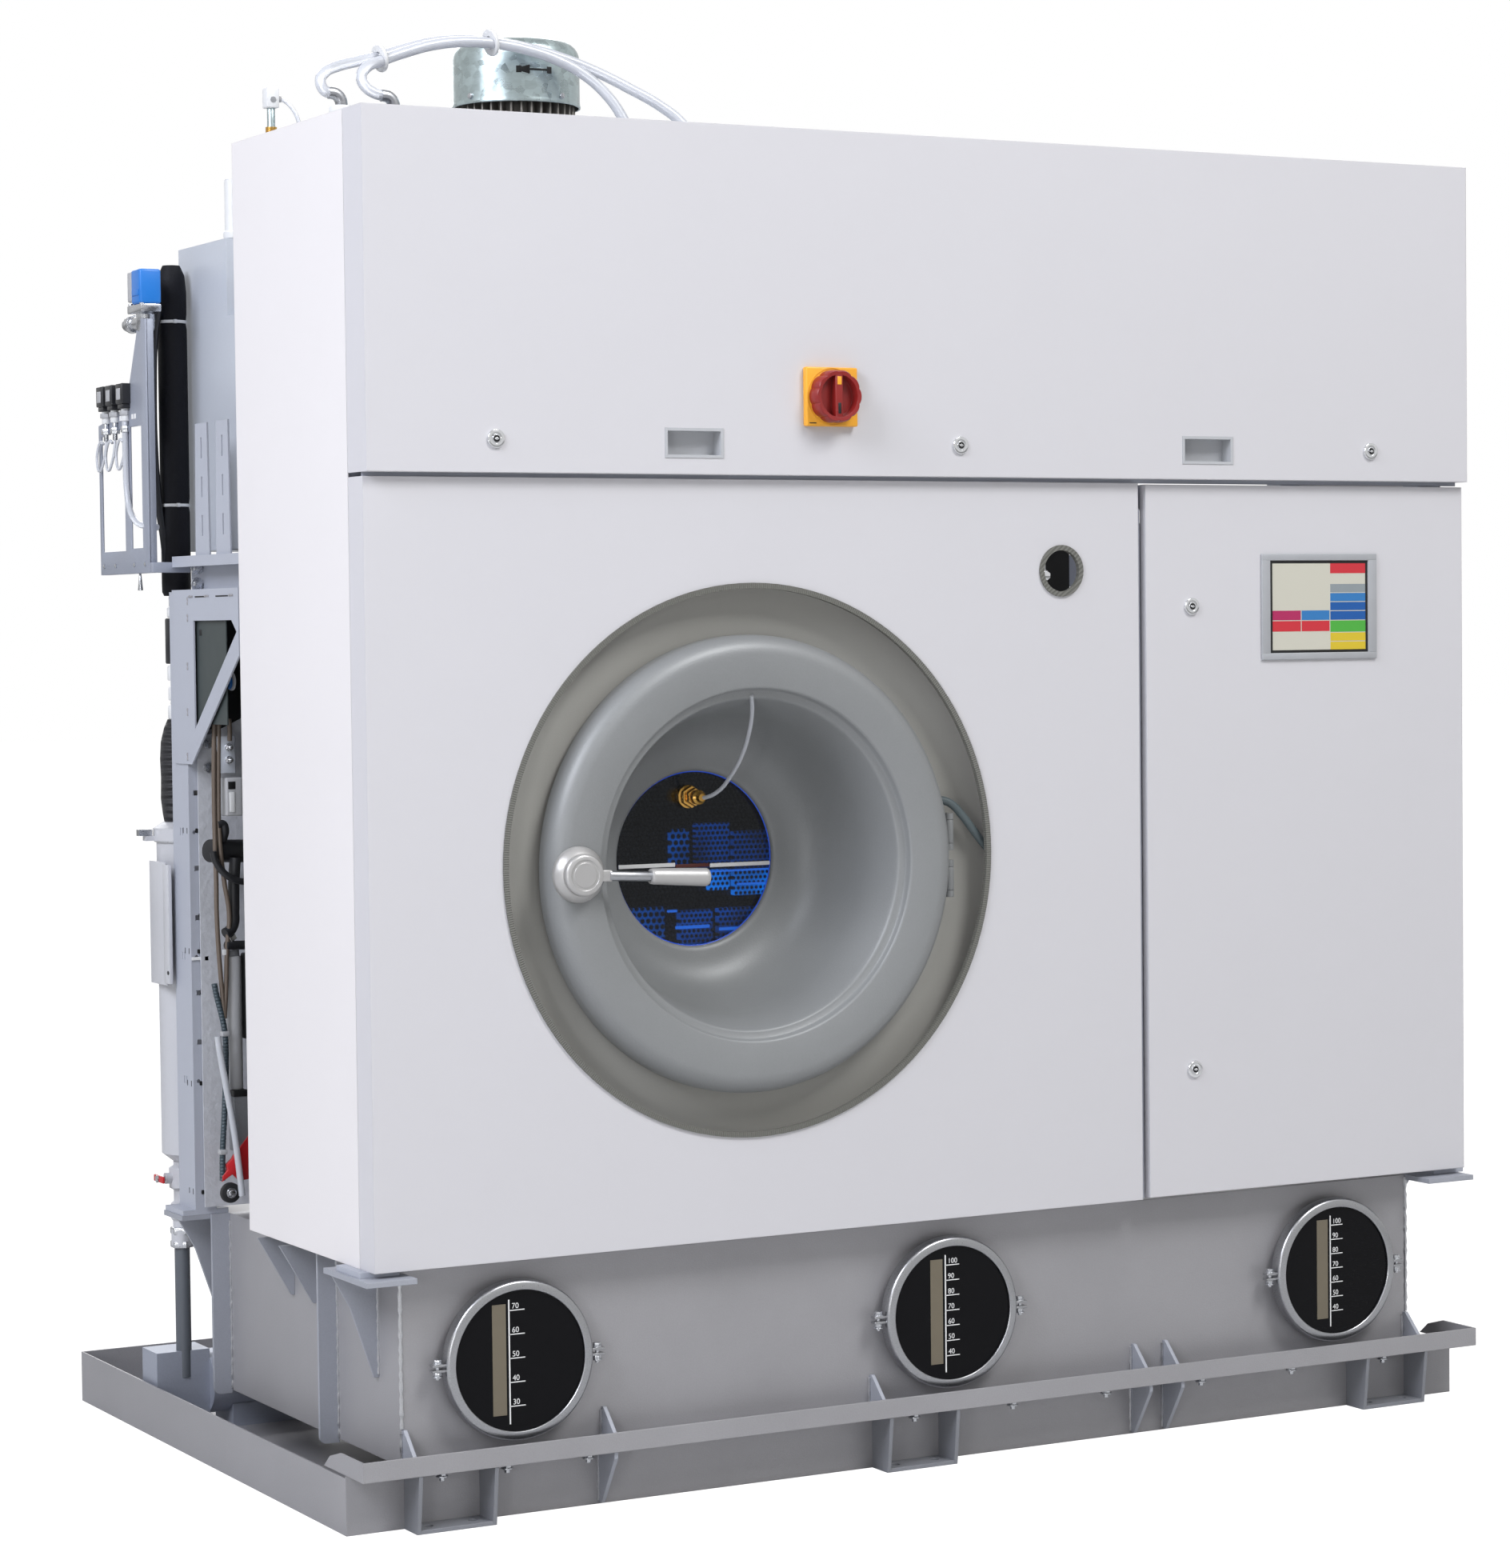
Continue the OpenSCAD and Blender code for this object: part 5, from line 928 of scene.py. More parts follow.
@dataclass
class Cabinet:
    """Panels, frame, trims, hinges, grips and locks."""

    locks: tuple = (("core_left", -764, -635, 1564), ("core_middle", 14, -635, 1564),
                    ("core_right", 793, -635, 1564), ("core_upper", 450, -620, 1316),
                    ("core_lower", 450, -620, 581))
    cover_locks: int = 3
    collar: tuple = ((6.4, 0), (13.6, 0), (13.6, 1.6), (12.4, 3.3), (9.2, 3.9), (7.2, 3.4),
                     (6.4, 2.2))
    column: float = 104.2
    column_side: float = -965.2
    slots: tuple = (980.5, 789.5, 580.5, 407.5)
    keyholes: tuple = (846.5, 723.5)
    tabs: tuple = (1292.5, 1170.5, 980.5, 790.0, 580.0, 408.5)
    edge_welds: tuple = (1342, 1316, 1240, 1168, 1098)
    top_slits: tuple = ((52, 8), (-38, -90))
    top_welds: tuple = (70, 0, -104)
    bolts: tuple = (1394.3, 1369.1)
    bolt_place: tuple = (-939.6, 110.2)

    def lock_faces(self) -> None:
        """Puts a thin dark disc, painted shade of the socket's hollow, with a bright pin into each
        lock.
        """
        for body, x, y, z in self.locks:
            face = Piece(f"lock_face_{body}", "dark", "chrome")
            # The dark disc is painted shade of the socket's hollow.
            face.rod((x, y - 4.3, z), (x, y - 4.0, z), 5.2)
            face.rod((x, y - 5.6, z), (x, y - 4.0, z), 2.0, 1, 16, 0.4)
            face.slab((x - 3.4, y - 5.2, z - 0.9), (x + 3.4, y - 4.0, z + 0.9), 1, 0.3)
            face.done(body)

    def lock_rings(self) -> None:
        """Makes the rounded chrome collars of the locks."""
        for index, (_, x, y, z) in enumerate(self.locks):
            ring = Piece(f"lock_ring_{index + 1}", "chrome")
            ring.turned(self.collar, (x, y - 0.1, z), Axis.FRONT, 0, 48, True)
            ring.done("cover" if index < self.cover_locks else "side_door")

    def peephole(self) -> None:
        """Puts the bright bracket with its nut behind the peephole."""
        part = Piece("peephole_bracket", "zinc", "chrome", "dark")
        part.hose([(160, -585, 1335), (172, -596, 1352), (180, -600, 1378), (176, -594, 1405)],
                  7.0, 1)
        part.slab((168, -602, 1350), (192, -590, 1362), 0, 1.5)
        part.slab((186, -600, 1346), (190, -588, 1384), 0, 0.8)
        part.nut((190, -596, 1366), Axis.FRONT, 7.5, 6, 1, 9)
        # A near-black sheet behind the bracket: painted shade of the cover's dark inside.
        part.slab((165, -575, 1325), (250, -570, 1420), 2)
        part.done("machine")

    def column_marks(self, marks: Piece) -> None:
        """Marks the slots, keyholes and tab slits of the rear column, as dark marks: painted shade
        of openings.
        """
        y = self.column
        for z in self.slots:
            for x, w in ((-949.5, 2.4), (-929.5, 2.0)):
                marks.slab((x - w, y - 0.6, z - 3.4), (x + w, y, z + 3.4), 0, 1.2)
        for z in self.keyholes:
            hole = arc((-935.5, z), 4.2, -90, 90, 9) + arc((-944.5, z), 4.2, 90, 270, 9)
            marks.prism(hole, (0, y, 0), Axis.FRONT, 0.6)
        for z in self.tabs:
            for along in (113.0, 130.0):
                marks.slab((-962.3, along - 1.1, z - 4.5), (-961.8, along + 1.1, z + 4.5))
        marks.slab((-947, 101.5, 787.5), (-930, 103.9, 791.0), 3, 0.8)
        marks.slab((-941.5, 100.0, 784.5), (-934, 103.9, 794.0), 3, 1.5)

    def rail_marks(self, marks: Piece) -> None:
        """Marks the welds, slits, bolts and holes of the truss plate and the side rail; slits and
        holes are dark marks, painted shade of openings.
        """
        side = self.column_side
        for z in self.edge_welds:
            y = 84 + (1350 - z) * 0.045
            marks.weld((side, y, z - 6), (side, y, z + 6), 1.6, 1)
        for rear, fore in self.top_slits:
            marks.slab((side - 0.2, fore, 1347.2), (side + 0.4, rear, 1349.4))
        for y in self.top_welds:
            marks.weld((side, y - 8, 1349), (side, y + 8, 1349), 1.7, 1)
        x, y = self.bolt_place
        for z in self.bolts:
            marks.rod((x, y, z), (x, y - 2.8, z), 10.5, 2, 32, 0.6)
            marks.nut((x, y - 2.8, z), Axis.FRONT, 7.2, 5, 2)
        marks.prism(arc((-901, 1381.5), (3.6, 13), 0, 340, 17), (0, y, 0), Axis.FRONT, 0.6)
        for x in (-921.9, -904.5):
            marks.slab((x - 3, y - 0.6, 1401.5), (x + 3, y + 0.1, 1405.5))
        marks.slab((-958.5, -62, 1150), (-956.5, 98, 1322), 4)
        marks.slab((-959.2, 42, 1288), (-958.4, 52, 1297), 0, 0.3)

    def frame_marks(self) -> None:
        """Marks the frame behind the left side panel."""
        marks = Piece("frame_marks", "dark", "silver", "zinc", "white_plastic", "recess_green")
        self.column_marks(marks)
        self.rail_marks(marks)
        marks.done("machine")

    def build(self) -> None:
        """Dresses the cabinet."""
        dress("panel", "upper_cover", "lower_front_panel", "control_door")
        # The side panels get the lighter copy of the panel paint: painted light.
        dress("panel_lit_side", "side_panels")
        dress("duct_grey", "top_tray", "control_plate")
        dress("sheet_grey", "frame_columns", "frame_rails")
        dress("trim", "edge_trims")
        dress("grip_grey", "cover_grips")
        dress("zinc", "panel_hinges")
        dress("chrome", "cover_lock_barrels", "control_lock_barrels",
              *(f"lock_{body}" for body, *_ in self.locks))
        self.lock_faces()
        self.lock_rings()
        self.peephole()
        self.frame_marks()


@dataclass
class MainSwitch:
    """Yellow plate with a dark red scalloped knob."""

    x: float = -216.0
    z: float = 1633.0
    face: float = -635.0
    thick: float = 12.0
    half: float = 44.0
    radius: float = 40.0
    wall: float = 8.5
    points: int = 160
    rims: tuple = ((6.5, 1.0), (19.5, 0.985), (22.0, 0.94))

    def plate(self) -> None:
        """Makes the raised yellow plate."""
        h, x, y, z = self.half, self.x, self.face, self.z
        f = y - self.thick
        plate = Piece("switch_face", "yellow", "ink_black")
        plate.slab((x - h, f, z - h), (x + h, y, z + h), 0, 2.5, 3)
        plate.turned([(41.5, 0), (43.2, 0), (43.2, 0.5), (41.5, 0.5)], (x, f, z), Axis.FRONT, 0, 64,
                     True)
        plate.slab((x - 40, f - 0.3, z - 40), (x - 28, f, z - 38.5), 1)
        plate.done("cover", ("switch_plate",))

    def knob(self) -> None:
        """Makes the cup-shaped knob with its bar and window."""
        x, y, z = self.x, self.face - self.thick - 0.3, self.z
        knob = Piece("switch_grip", "knob_red", "yellow", "dark")
        outline = []
        for i, (c, s) in enumerate(circle(1.0, self.points)):
            r = self.radius - 2.6 + 2.4 * abs(math.cos(5 * math.tau * i / self.points)) ** 0.6
            outline.append((r * c, r * s))
        knob.prism(outline, (x, y, z), Axis.FRONT, 7.0)
        inner = self.radius - self.wall
        levels = [([(a * scale, b * scale) for a, b in outline], depth)
                  for depth, scale in self.rims]
        levels += [(circle(inner, self.points), 21.4), (circle(inner * 0.95, self.points), 6.5)]
        cup = bmesh.new()
        loops = []
        for points, depth in levels:
            ring = [cup.verts.new((a, b, depth)) for a, b in points]
            loops.append([cup.edges.new(pair) for pair in zip(ring, ring[1:] + ring[:1])])
        for first, second in zip(loops, loops[1:] + loops[:1]):
            bmesh.ops.bridge_loops(cup, edges=first + second)
        knob.take(cup, 0, move((x, y, z)) @ LAID[Axis.FRONT])
        knob.slab((x - 6.5, y - 21.5, z - 33), (x + 6.5, y - 6, z + 33), 0, 2.5, 3)
        knob.slab((x - 3.5, y - 21.9, z + 17), (x + 3.5, y - 21.2, z + 29), 1, 0.2)
        knob.slab((x - 2.5, y - 22.0, z - 26), (x + 2.5, y - 21.2, z - 10), 2, 0.2)
        knob.rod((x, y, z), (x, self.face + 18, z), 5.9, 2, 16)
        knob.done("knob", ("switch_knob",))

    def build(self) -> None:
        """Builds the switch."""
        self.plate()
        self.knob()


@dataclass
class ControlScreen:
    """Touch screen in a grey bezel on the control door."""

    left: float = 585.0
    right: float = 814.0
    bottom: float = 1229.0
    top: float = 1399.0
    face: float = -620.0
    raised: float = 4.2
    border: float = 17.0
    margin: tuple = (22.0, 15.5)
    tiles: tuple = (
        ("screen_paper", 0.0, 0.0, 1.0, 1.0), ("screen_red", 0.62, 0.885, 1.0, 1.0),
        ("screen_grey", 0.62, 0.665, 1.0, 0.76), ("screen_sky", 0.62, 0.56, 1.0, 0.655),
        ("screen_blue", 0.62, 0.455, 1.0, 0.55), ("screen_blue", 0.62, 0.345, 1.0, 0.445),
        ("screen_green", 0.62, 0.205, 1.0, 0.335), ("screen_yellow", 0.62, 0.1, 1.0, 0.195),
        ("screen_yellow", 0.62, 0.0, 1.0, 0.09), ("screen_magenta", 0.0, 0.345, 0.3, 0.455),
        ("screen_sky", 0.31, 0.345, 0.61, 0.455), ("screen_red", 0.0, 0.215, 0.3, 0.335),
        ("screen_red", 0.31, 0.215, 0.61, 0.335))

    def bezel(self) -> None:
        """Makes the bezel with a sunken black mask round the screen."""
        bezel = Piece("screen_bezel", "bezel", "dark")
        y, f, w = self.face, self.face - self.raised, self.border
        l, r, b, t = self.left, self.right, self.bottom, self.top
        for low, high in (((l, f, b), (r, y, b + 11)), ((l, f, t - 11), (r, y, t)),
                          ((l, f, b + 10), (l + w, y, t - 10)),
                          ((r - w, f, b + 10), (r, y, t - 10))):
            bezel.slab(low, high, 0, 1.4, 3)
        bezel.slab((l + w - 2, y - 1.5, b + 9), (r - w + 2, y, t - 9), 1)
        bezel.slab((l + 12, y, b + 8), (r - 12, y + 34, t - 8), 0, 2)
        bezel.done("side_door", ("hmi_panel",))

    def screen(self) -> None:
        """Lays out the screen's coloured fields, each a share of its width and height."""
        names = sorted({tile[0] for tile in self.tiles})
        screen = Piece("screen_fields", *names)
        x, z = self.left + self.margin[0], self.bottom + self.margin[1]
        wide, high = self.right - self.margin[0] - x, self.top - self.margin[1] - z
        for name, a, b, c, d in self.tiles:
            front = self.face - (1.9 if name == "screen_paper" else 2.15)
            screen.slab((x + a * wide, front, z + b * high),
                        (x + c * wide, self.face - 1.6, z + d * high), names.index(name))
        screen.done("side_door")

    def build(self) -> None:
        """Builds the screen."""
        self.bezel()
        self.screen()


# ---- Loading door and drum ----


@dataclass
class LoadingDoor:
    """Dished door ring with its window, handle, fitting and hoses."""

    x: float = DRUM_X
    z: float = DRUM_Z
    hub_x: float = -644.0
    hub_z: float = 936.0
    rim: float = -636.0
    tilt: float = 3.0
    glass: float = -424.0
    latch: float = -583.2
    hinges: tuple = (-36, 36)
    hinge: tuple = (9, -600)
    hub_outline: tuple = ((8.2, 0.1), (39.5, 0.1), (41.2, 1.8), (41.2, 5.5), (40.2, 8.5),
                          (37.0, 13.0), (33.5, 16.6), (31.5, 18.2), (8.2, 18.2))
    cap_outline: tuple = ((0, 0.4), (30.6, 0.4), (30.8, 6.6), (29.4, 8.8), (27.0, 10.2),
                          (22.5, 10.2), (22.0, 9.4), (18.5, 9.4), (18.0, 10.0), (0, 10.0))
    grip_outline: tuple = ((0, 0), (10.4, 0), (11.4, 1.2), (11.9, 6), (12.8, 50), (13.4, 88),
                           (13.3, 92), (11.6, 94.6), (9.5, 94.2), (0, 93.0))
    fitting_outline: tuple = ((0, -20), (15, -20), (15, -12), (6, -12), (6, 0.1), (17.5, 0.1),
                              (18.0, 1.5), (15.0, 3.0), (15.0, 5.0), (0, 5.0))
    barb_outline: tuple = ((0, 24), (10.5, 24), (11.2, 26), (11.2, 36), (7.5, 39), (6.0, 46.3),
                           (0, 46.3))
    ledge_outline: tuple = ((265.5, 636), (262.5, 634.8), (261.2, 632), (260.6, 624.5),
                            (259, 622.6), (250.5, 622), (248.4, 621.2), (246.8, 618.5),
                            (244.5, 613), (236, 583))
    bowl: tuple = ((229, 556), (219, 484), (196, 437), (143, 433))
    bowl_steps: int = 18
    back_outline: tuple = ((137.5, 431.6), (134.8, 428.6), (134.2, 424.2), (148.3, 424.2),
                           (148.3, 410), (157, 410), (177, 426), (212, 441), (226, 462),
                           (228, 500), (242, 560), (253, 594), (259, 590.2))
    seal_outline: tuple = ((316, 591), (334, 591), (338.5, 588.5), (338.5, 583.5), (335, 580.8),
                           (316, 580.8))
    tube_route: tuple = ((-350, -464, 1033), (-345, -474, 1033.5), (-333, -490, 1043),
                         (-325, -515, 1066), (-321, -545, 1098.5), (-324, -572, 1130.5),
                         (-333, -600, 1163), (-346, -623, 1190))
    hose_route: tuple = ((-12, -598, 1023), (0.3, -598, 1022), (14, -600, 1016), (32, -602, 998),
                         (50, -602, 977), (68, -600, 957), (84, -597, 943), (97.7, -593, 937),
                         (103, -592, 935))

    def hub(self) -> None:
        """Makes the domed handle base."""
        hub = Piece("handle_base", "handle")
        hub.turned(self.hub_outline, (self.hub_x, self.rim, self.hub_z), Axis.FRONT, 0, 72, True)
        hub.done("loading_door", ("handle_hub",))

    def lever(self) -> None:
        """Makes the cap, neck, rod, tapered grip and latch."""
        x, f, z = self.hub_x, self.rim - 18, self.hub_z
        place = move((x, 0, z)) @ Matrix.Rotation(math.radians(self.tilt), 4, "Y")
        lever = Piece("handle_lever", "handle", "chrome", "steel")
        lever.turned(self.cap_outline, (x, f, z), Axis.FRONT, 0, 72)
        lever.slab((18, f - 9.2, -8.5), (44, f, 8.5), 0, 2.0, 3, place)
        neck, base, tip = (place @ Vector((reach, f - 5, 0)) for reach in (40, 107, 112))
        lever.rod(neck, tip, 7.4, 2, 32, 0.5)
        lever.turned(self.grip_outline, base, (place.to_3x3() @ Vector((1, 0, 0))).normalized())
        lever.rod((x, f, z), (x, self.latch, z), 7.9, 2)
        lever.slab((-34, self.latch - 5.6, -9), (6, self.latch, 9), 2, 1.5, 2, place)
        lever.done("lever", ("door_lever",))

    def fitting(self) -> None:
        """Makes the brass fitting and the clear tube to the rim."""
        at = Vector((self.x - 8, self.glass, self.z + 95))
        brass = Piece("window_fitting", "brass", "clear_hose", "steel")
        brass.turned(self.fitting_outline, at, Axis.FRONT, 0, 40)
        for out, radius, height in ((4, 17.5, 9), (14, 14.0, 11)):
            brass.nut(at - Vector((0, out, 0)), Axis.FRONT, radius, height)
        brass.turned(self.barb_outline, at, Axis.FRONT, 0, 32)
        brass.hose(self.tube_route, 3.2, 1)
        brass.done("loading_door", ("door_tube",))

    def cross_bars(self) -> None:
        """Adds the thin bars on the window and a ring glowing blue at its edge, painted light."""
        bars = Piece("window_bars", "ink_white", "rust_red", "blue_glow_edge")
        y = self.glass - 2.4
        bars.slab((-472, y, 926.4), (-375, y + 2.2, 932.6), 0, 0.8)
        bars.slab((-315, y, 923.2), (-210, y + 2.2, 929.4), 0, 0.8)
        bars.slab((-374, y + 0.6, 924.5), (-316, y + 2.2, 930.0), 1, 0.4)
        bars.turned([(132.6, 423.8), (134.2, 424.4), (134.2, 423.2)], (self.x, 0, self.z),
                    Axis.FRONT, 2, 96, True)
        bars.done("loading_door")

    def ring(self) -> None:
        """Makes the dished ring: rolled rim, stepped ledge and funnel down to the window."""
        start, pull, push, end = (Vector(p) for p in self.bowl)
        bowl = []
        for t in (i / self.bowl_steps for i in range(self.bowl_steps + 1)):
            bowl.append(tuple((1 - t) ** 3 * start + 3 * t * (1 - t) ** 2 * pull +
                              3 * t * t * (1 - t) * push + t ** 3 * end))
        ring = Piece("door_rim_and_funnel", "door_grey")
        ring.turned([(342, 590.2), *arc((312, 606), 30, 0, 90, 15), *self.ledge_outline, *bowl,
                     *self.back_outline], (self.x, 0, self.z), Axis.FRONT, 0, 160, True)
        x, y = self.hinge
        for z in (self.z + offset for offset in self.hinges):
            ring.rod((x, y, z - 18), (x, y, z + 18), 7, 0, 32, 0.8)
            ring.slab((-50, y + 0.1, z - 17.9), (x, y + 6.9, z + 17.9), 0, 0.8)
        ring.rod((-20, -598, 1022), (-3.2, -598, 1022), 6.0, 0, 24, 0.6)
        ring.done("loading_door", ("door_ring",), 50.0)

    def seal(self) -> None:
        """Makes the black seal behind the rim."""
        seal = Piece("door_back_seal", "black_rubber")
        seal.turned(self.seal_outline, (self.x, 0, self.z), Axis.FRONT, 0, 128, True)
        seal.done("loading_door")

    def hose(self) -> None:
        """Makes the hose between the door's rim and the recess plate."""
        hose = Piece("door_side_hose", "grey_hose", "black_rubber")
        hose.hose(self.hose_route, 6.4, 0, 4)
        made = hose.done("", ("door_hose",))
        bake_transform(made)

    def build(self) -> None:
        """Dresses the door."""
        dress("door_grey", "door_hinge")
        dress("window", "door_glass")
        dress("black_rubber", "door_gasket")
        self.ring()
        self.seal()
        self.hub()
        self.lever()
        self.fitting()
        self.cross_bars()
        self.hose()


@dataclass
class DrumUnit:
    """Outer drum, pierced drum with its lifters and back panels, and drive."""

    x: float = DRUM_X
    z: float = DRUM_Z
    outer: float = 412.0
    mouth: float = 266.0
    front: float = 560.0
    back: float = -30.0
    panels: tuple = (
        ("mesh_wide", -190, 900, -153, 962), ("mesh_dim", -141, 897, -78, 970),
        ("mesh_dim", -71, 893, -3, 955), ("mesh_lit", -117, 859, -78, 893),
        ("mesh_lit", -71, 849, -3, 889), ("mesh_wide", -268, 768, -200, 836),
        ("mesh_dim", -173, 765, -111, 828), ("mesh_dim", -101, 779, -32, 829))
    # Glowing strips: painted light on the back disc.
    strips: tuple = ((-181, 798, -118, 803), (-100, 792, -40, 797), (-173, 768, -60, 771),
                     (-196, 826, -178, 830), (-117, 889, -3, 892), (-66, 866, -3, 869))

    def shell(self) -> None:
        """Makes the pierced shell with its rolled front ring and its back disc."""
        m, o, f, b = self.mouth, self.outer, self.front, -self.back
        axis = (self.x, 0, self.z)
        shell = Piece("drum_shell", "drum_steel", "drum_back")
        shell.turned([(m, f), (o - 8, f), (o - 2, f - 3), (o, f - 10), (o, b + 10), (o - 3, b + 3),
                      (o - 10, b), (o - 10, b + 3), (o - 5, b + 5), (o - 3, b + 10),
                      (o - 3, f - 11), (o - 8, f - 4), (o - 10, f - 3), (m, f - 3)],
                     axis, Axis.FRONT, 0, 128, True)
        shell.turned([(26, b), (o - 9, b), (o - 9, b + 2.9), (180, b + 2.9), (170, b + 9),
                      (60, b + 12), (26, b + 12)], axis, Axis.FRONT, 1, 128, True)
        shell.done("drum", ("drum_cage",))

    def back_panels(self) -> None:
        """Sets pierced panels and strips glowing as painted light on the back disc, twice, half a
        turn apart.
        """
        names = ("mesh_wide", "mesh_dim", "mesh_lit", "blue_glow_spot")
        made = Piece("drum_back_panels", *names)
        axis = move((self.x, 0, self.z))
        for angle in (0.0, math.pi):
            turn = axis @ Matrix.Rotation(angle, 4, "Y") @ axis.inverted()
            for name, x0, z0, x1, z1 in self.panels:
                made.slab((x0, self.back - 16, z0), (x1, self.back - 2.5, z1), names.index(name),
                          2.0, 2, turn)
            for x0, z0, x1, z1 in self.strips:
                made.slab((x0, self.back - 18, z0), (x1, self.back - 15, z1),
                          names.index("blue_glow_spot"), 0.8, 2, turn)
        made.done("drum")

    def build(self) -> None:
        """Dresses the drum unit."""
        dress("recess", "outer_drum")
        dress("lifter", "drum_lifters")
        dress("cast", "bearing_housing", "drum_pulley", "motor_pulley")
        dress("steel", "drum_bearings", "drum_shaft")
        dress("black_rubber", "drive_belt")
        dress("motor_blue", "drum_motor")
        self.shell()
        self.back_panels()


# ---- Top ----


@dataclass
class TopOfMachine:
    """Fan motor with its cowl, clear hoses, elbows and the small air cylinder."""

    fan: tuple = (-590.0, -350.0)
    fins: int = 36
    tray: float = 1993.0
    drum_outline: tuple = ((0, 1985.2), (89.5, 1985.2), (89.5, 1993), (84, 1996), (70, 1998),
                           (68, 2002), (68, 2090), (0, 2090))
    cowl_foot: tuple = ((94.3, 2075), (96.8, 2075), (97.2, 2077), (96.4, 2080), (96, 2084))
    cowl_top: float = 2173.0
    cowl_sheet: float = 1.6
    screws: tuple = (200, 290, 20, 110)
    arrow_start: float = 246.0
    arrow_step: float = 1.5
    arrow_steps: int = 22
    long_hose: tuple = (
        (-961.3, -520, 2058), (-970, -520, 2060), (-976, -518, 2074), (-966, -512, 2088),
        (-943, -503, 2099), (-910, -493, 2109), (-870, -484, 2120), (-828, -477, 2134),
        (-782, -472, 2147), (-735, -468, 2153.6), (-680, -466, 2154), (-628, -468, 2149),
        (-575, -474, 2137), (-520, -482, 2118), (-468, -492, 2094), (-425, -504, 2070),
        (-396, -516, 2045), (-383, -525, 2020), (-380, -528, 1994.5))
    short_hose: tuple = (
        (-884.3, -530, 2057), (-898, -529, 2060), (-910, -525, 2069), (-913, -518, 2083),
        (-902, -510, 2098), (-874, -500, 2111), (-832, -493, 2127), (-784, -488, 2141.5),
        (-735, -484, 2149), (-680, -482, 2149.5), (-634, -486, 2143), (-588, -491, 2130),
        (-548, -498, 2110), (-516, -506, 2082), (-496, -514, 2052), (-485, -521, 2022),
        (-482, -525, 1994.5))
    ties: tuple = ((-872, -491, 2116), (-688, -474, 2152))
    elbows: tuple = ((-945, -520, 2058), (-868, -530, 2057))
    bend: tuple = ((0, -22), (0, -16), (-2, -8), (-8, -2), (-16, 0), (-20, 0))
    cylinder: tuple = (-950, -262)
    air_tube: tuple = ((-939.5, -262, 2082), (-930, -264, 2080), (-918, -268, 2068),
                       (-910, -272, 2048), (-908, -275, 2020), (-908, -276, 1994.5))

    def motor(self) -> None:
        """Makes the finned motor."""
        motor = Piece("fan_motor_body", "fins", "dark")
        place = move((*self.fan, 0))
        motor.turned(self.drum_outline, (*self.fan, 0), Axis.Z, 0, 64)
        for i in range(self.fins):
            turn = place @ Matrix.Rotation(math.tau * i / self.fins, 4, "Z")
            motor.slab((64, -1.8, 1996), (89, 1.8, 2086), 0, 0.8, 1, turn)
        motor.done("machine", ("fan_motor",))

    def cowl(self) -> None:
        """Makes the domed cowl with its rolled foot, screws and turning arrow."""
        x, y = self.fan
        cowl = Piece("fan_motor_cowl", "galvanised", "zinc", "ink_black")
        dome = arc((70, 2147), 26, 0, 90, 9)
        inner = [(r - self.cowl_sheet, h - self.cowl_sheet) for r, h in reversed(dome)]
        cowl.turned([*self.cowl_foot, *dome, (0, self.cowl_top),
                     (0, self.cowl_top - self.cowl_sheet), *inner, (94.3, 2084)], (x, y, 0), Axis.Z,
                    0, 96, True)
        for angle in self.screws:
            c, s = math.cos(math.radians(angle)), math.sin(math.radians(angle))
            cowl.rod((x + 95.5 * c, y + 95.5 * s, 2086), (x + 98.6 * c, y + 98.6 * s, 2086), 4.5, 1,
                     20, 0.8)
        for i in range(self.arrow_steps):
            half = 1.5 if i > 7 else 1.5 + 5.0 * (i / 7.0)
            if i < 3 or i > self.arrow_steps - 4:
                half = 5.0
            angle = math.radians(self.arrow_start + i * self.arrow_step)
            cowl.slab((96.05, -1.4, -half), (96.5, 1.4, half), 2, 0, 1,
                      move((x, y, 2122)) @ Matrix.Rotation(angle, 4, "Z"))
        cowl.done("machine")

    def elbow(self, hoses: Piece, at: Point) -> None:
        """Adds an elbow on its collars, standing on the tray."""
        x, y, z = at
        hoses.hose([(x + along, y, z + up) for along, up in self.bend], 9.0, 2, 4)
        for h in (self.tray, self.tray + 13):
            hoses.turned([(9, h), (15, h), (16, h + 2), (16, h + 8), (14, h + 10), (9, h + 10)],
                         (x, y, 0), Axis.Z, 2, 32, True)
        hoses.rod((x, y, self.tray), (x, y, z - 20), 9.2, 2)
        hoses.nut((x, y, z - 30), Axis.Z, 15, 11, 2)

    def air_cylinder(self, hoses: Piece) -> None:
        """Adds the small air cylinder with its valve and tube."""
        x, y = self.cylinder
        hoses.rod((x, y, self.tray + 1), (x, y, 2068), 6, 4, 24, 0.6)
        hoses.turned([(6, 2012), (8.5, 2012), (8.5, 2040), (6, 2040)], (x, y, 0), Axis.Z, 5, 24,
                     True)
        hoses.slab((x - 10, y - 10, 2068), (x + 10, y + 10, 2098), 1, 2.0)
        hoses.rod((x, y - 10.6, 2080), (x, y - 9.6, 2080), 4.5, 2, 20)
        hoses.rod((x + 9, y, 2082), (x + 16, y, 2082), 4.6, 3, 20, 0.8)
        hoses.hose(self.air_tube, 3.0, 0, 2)

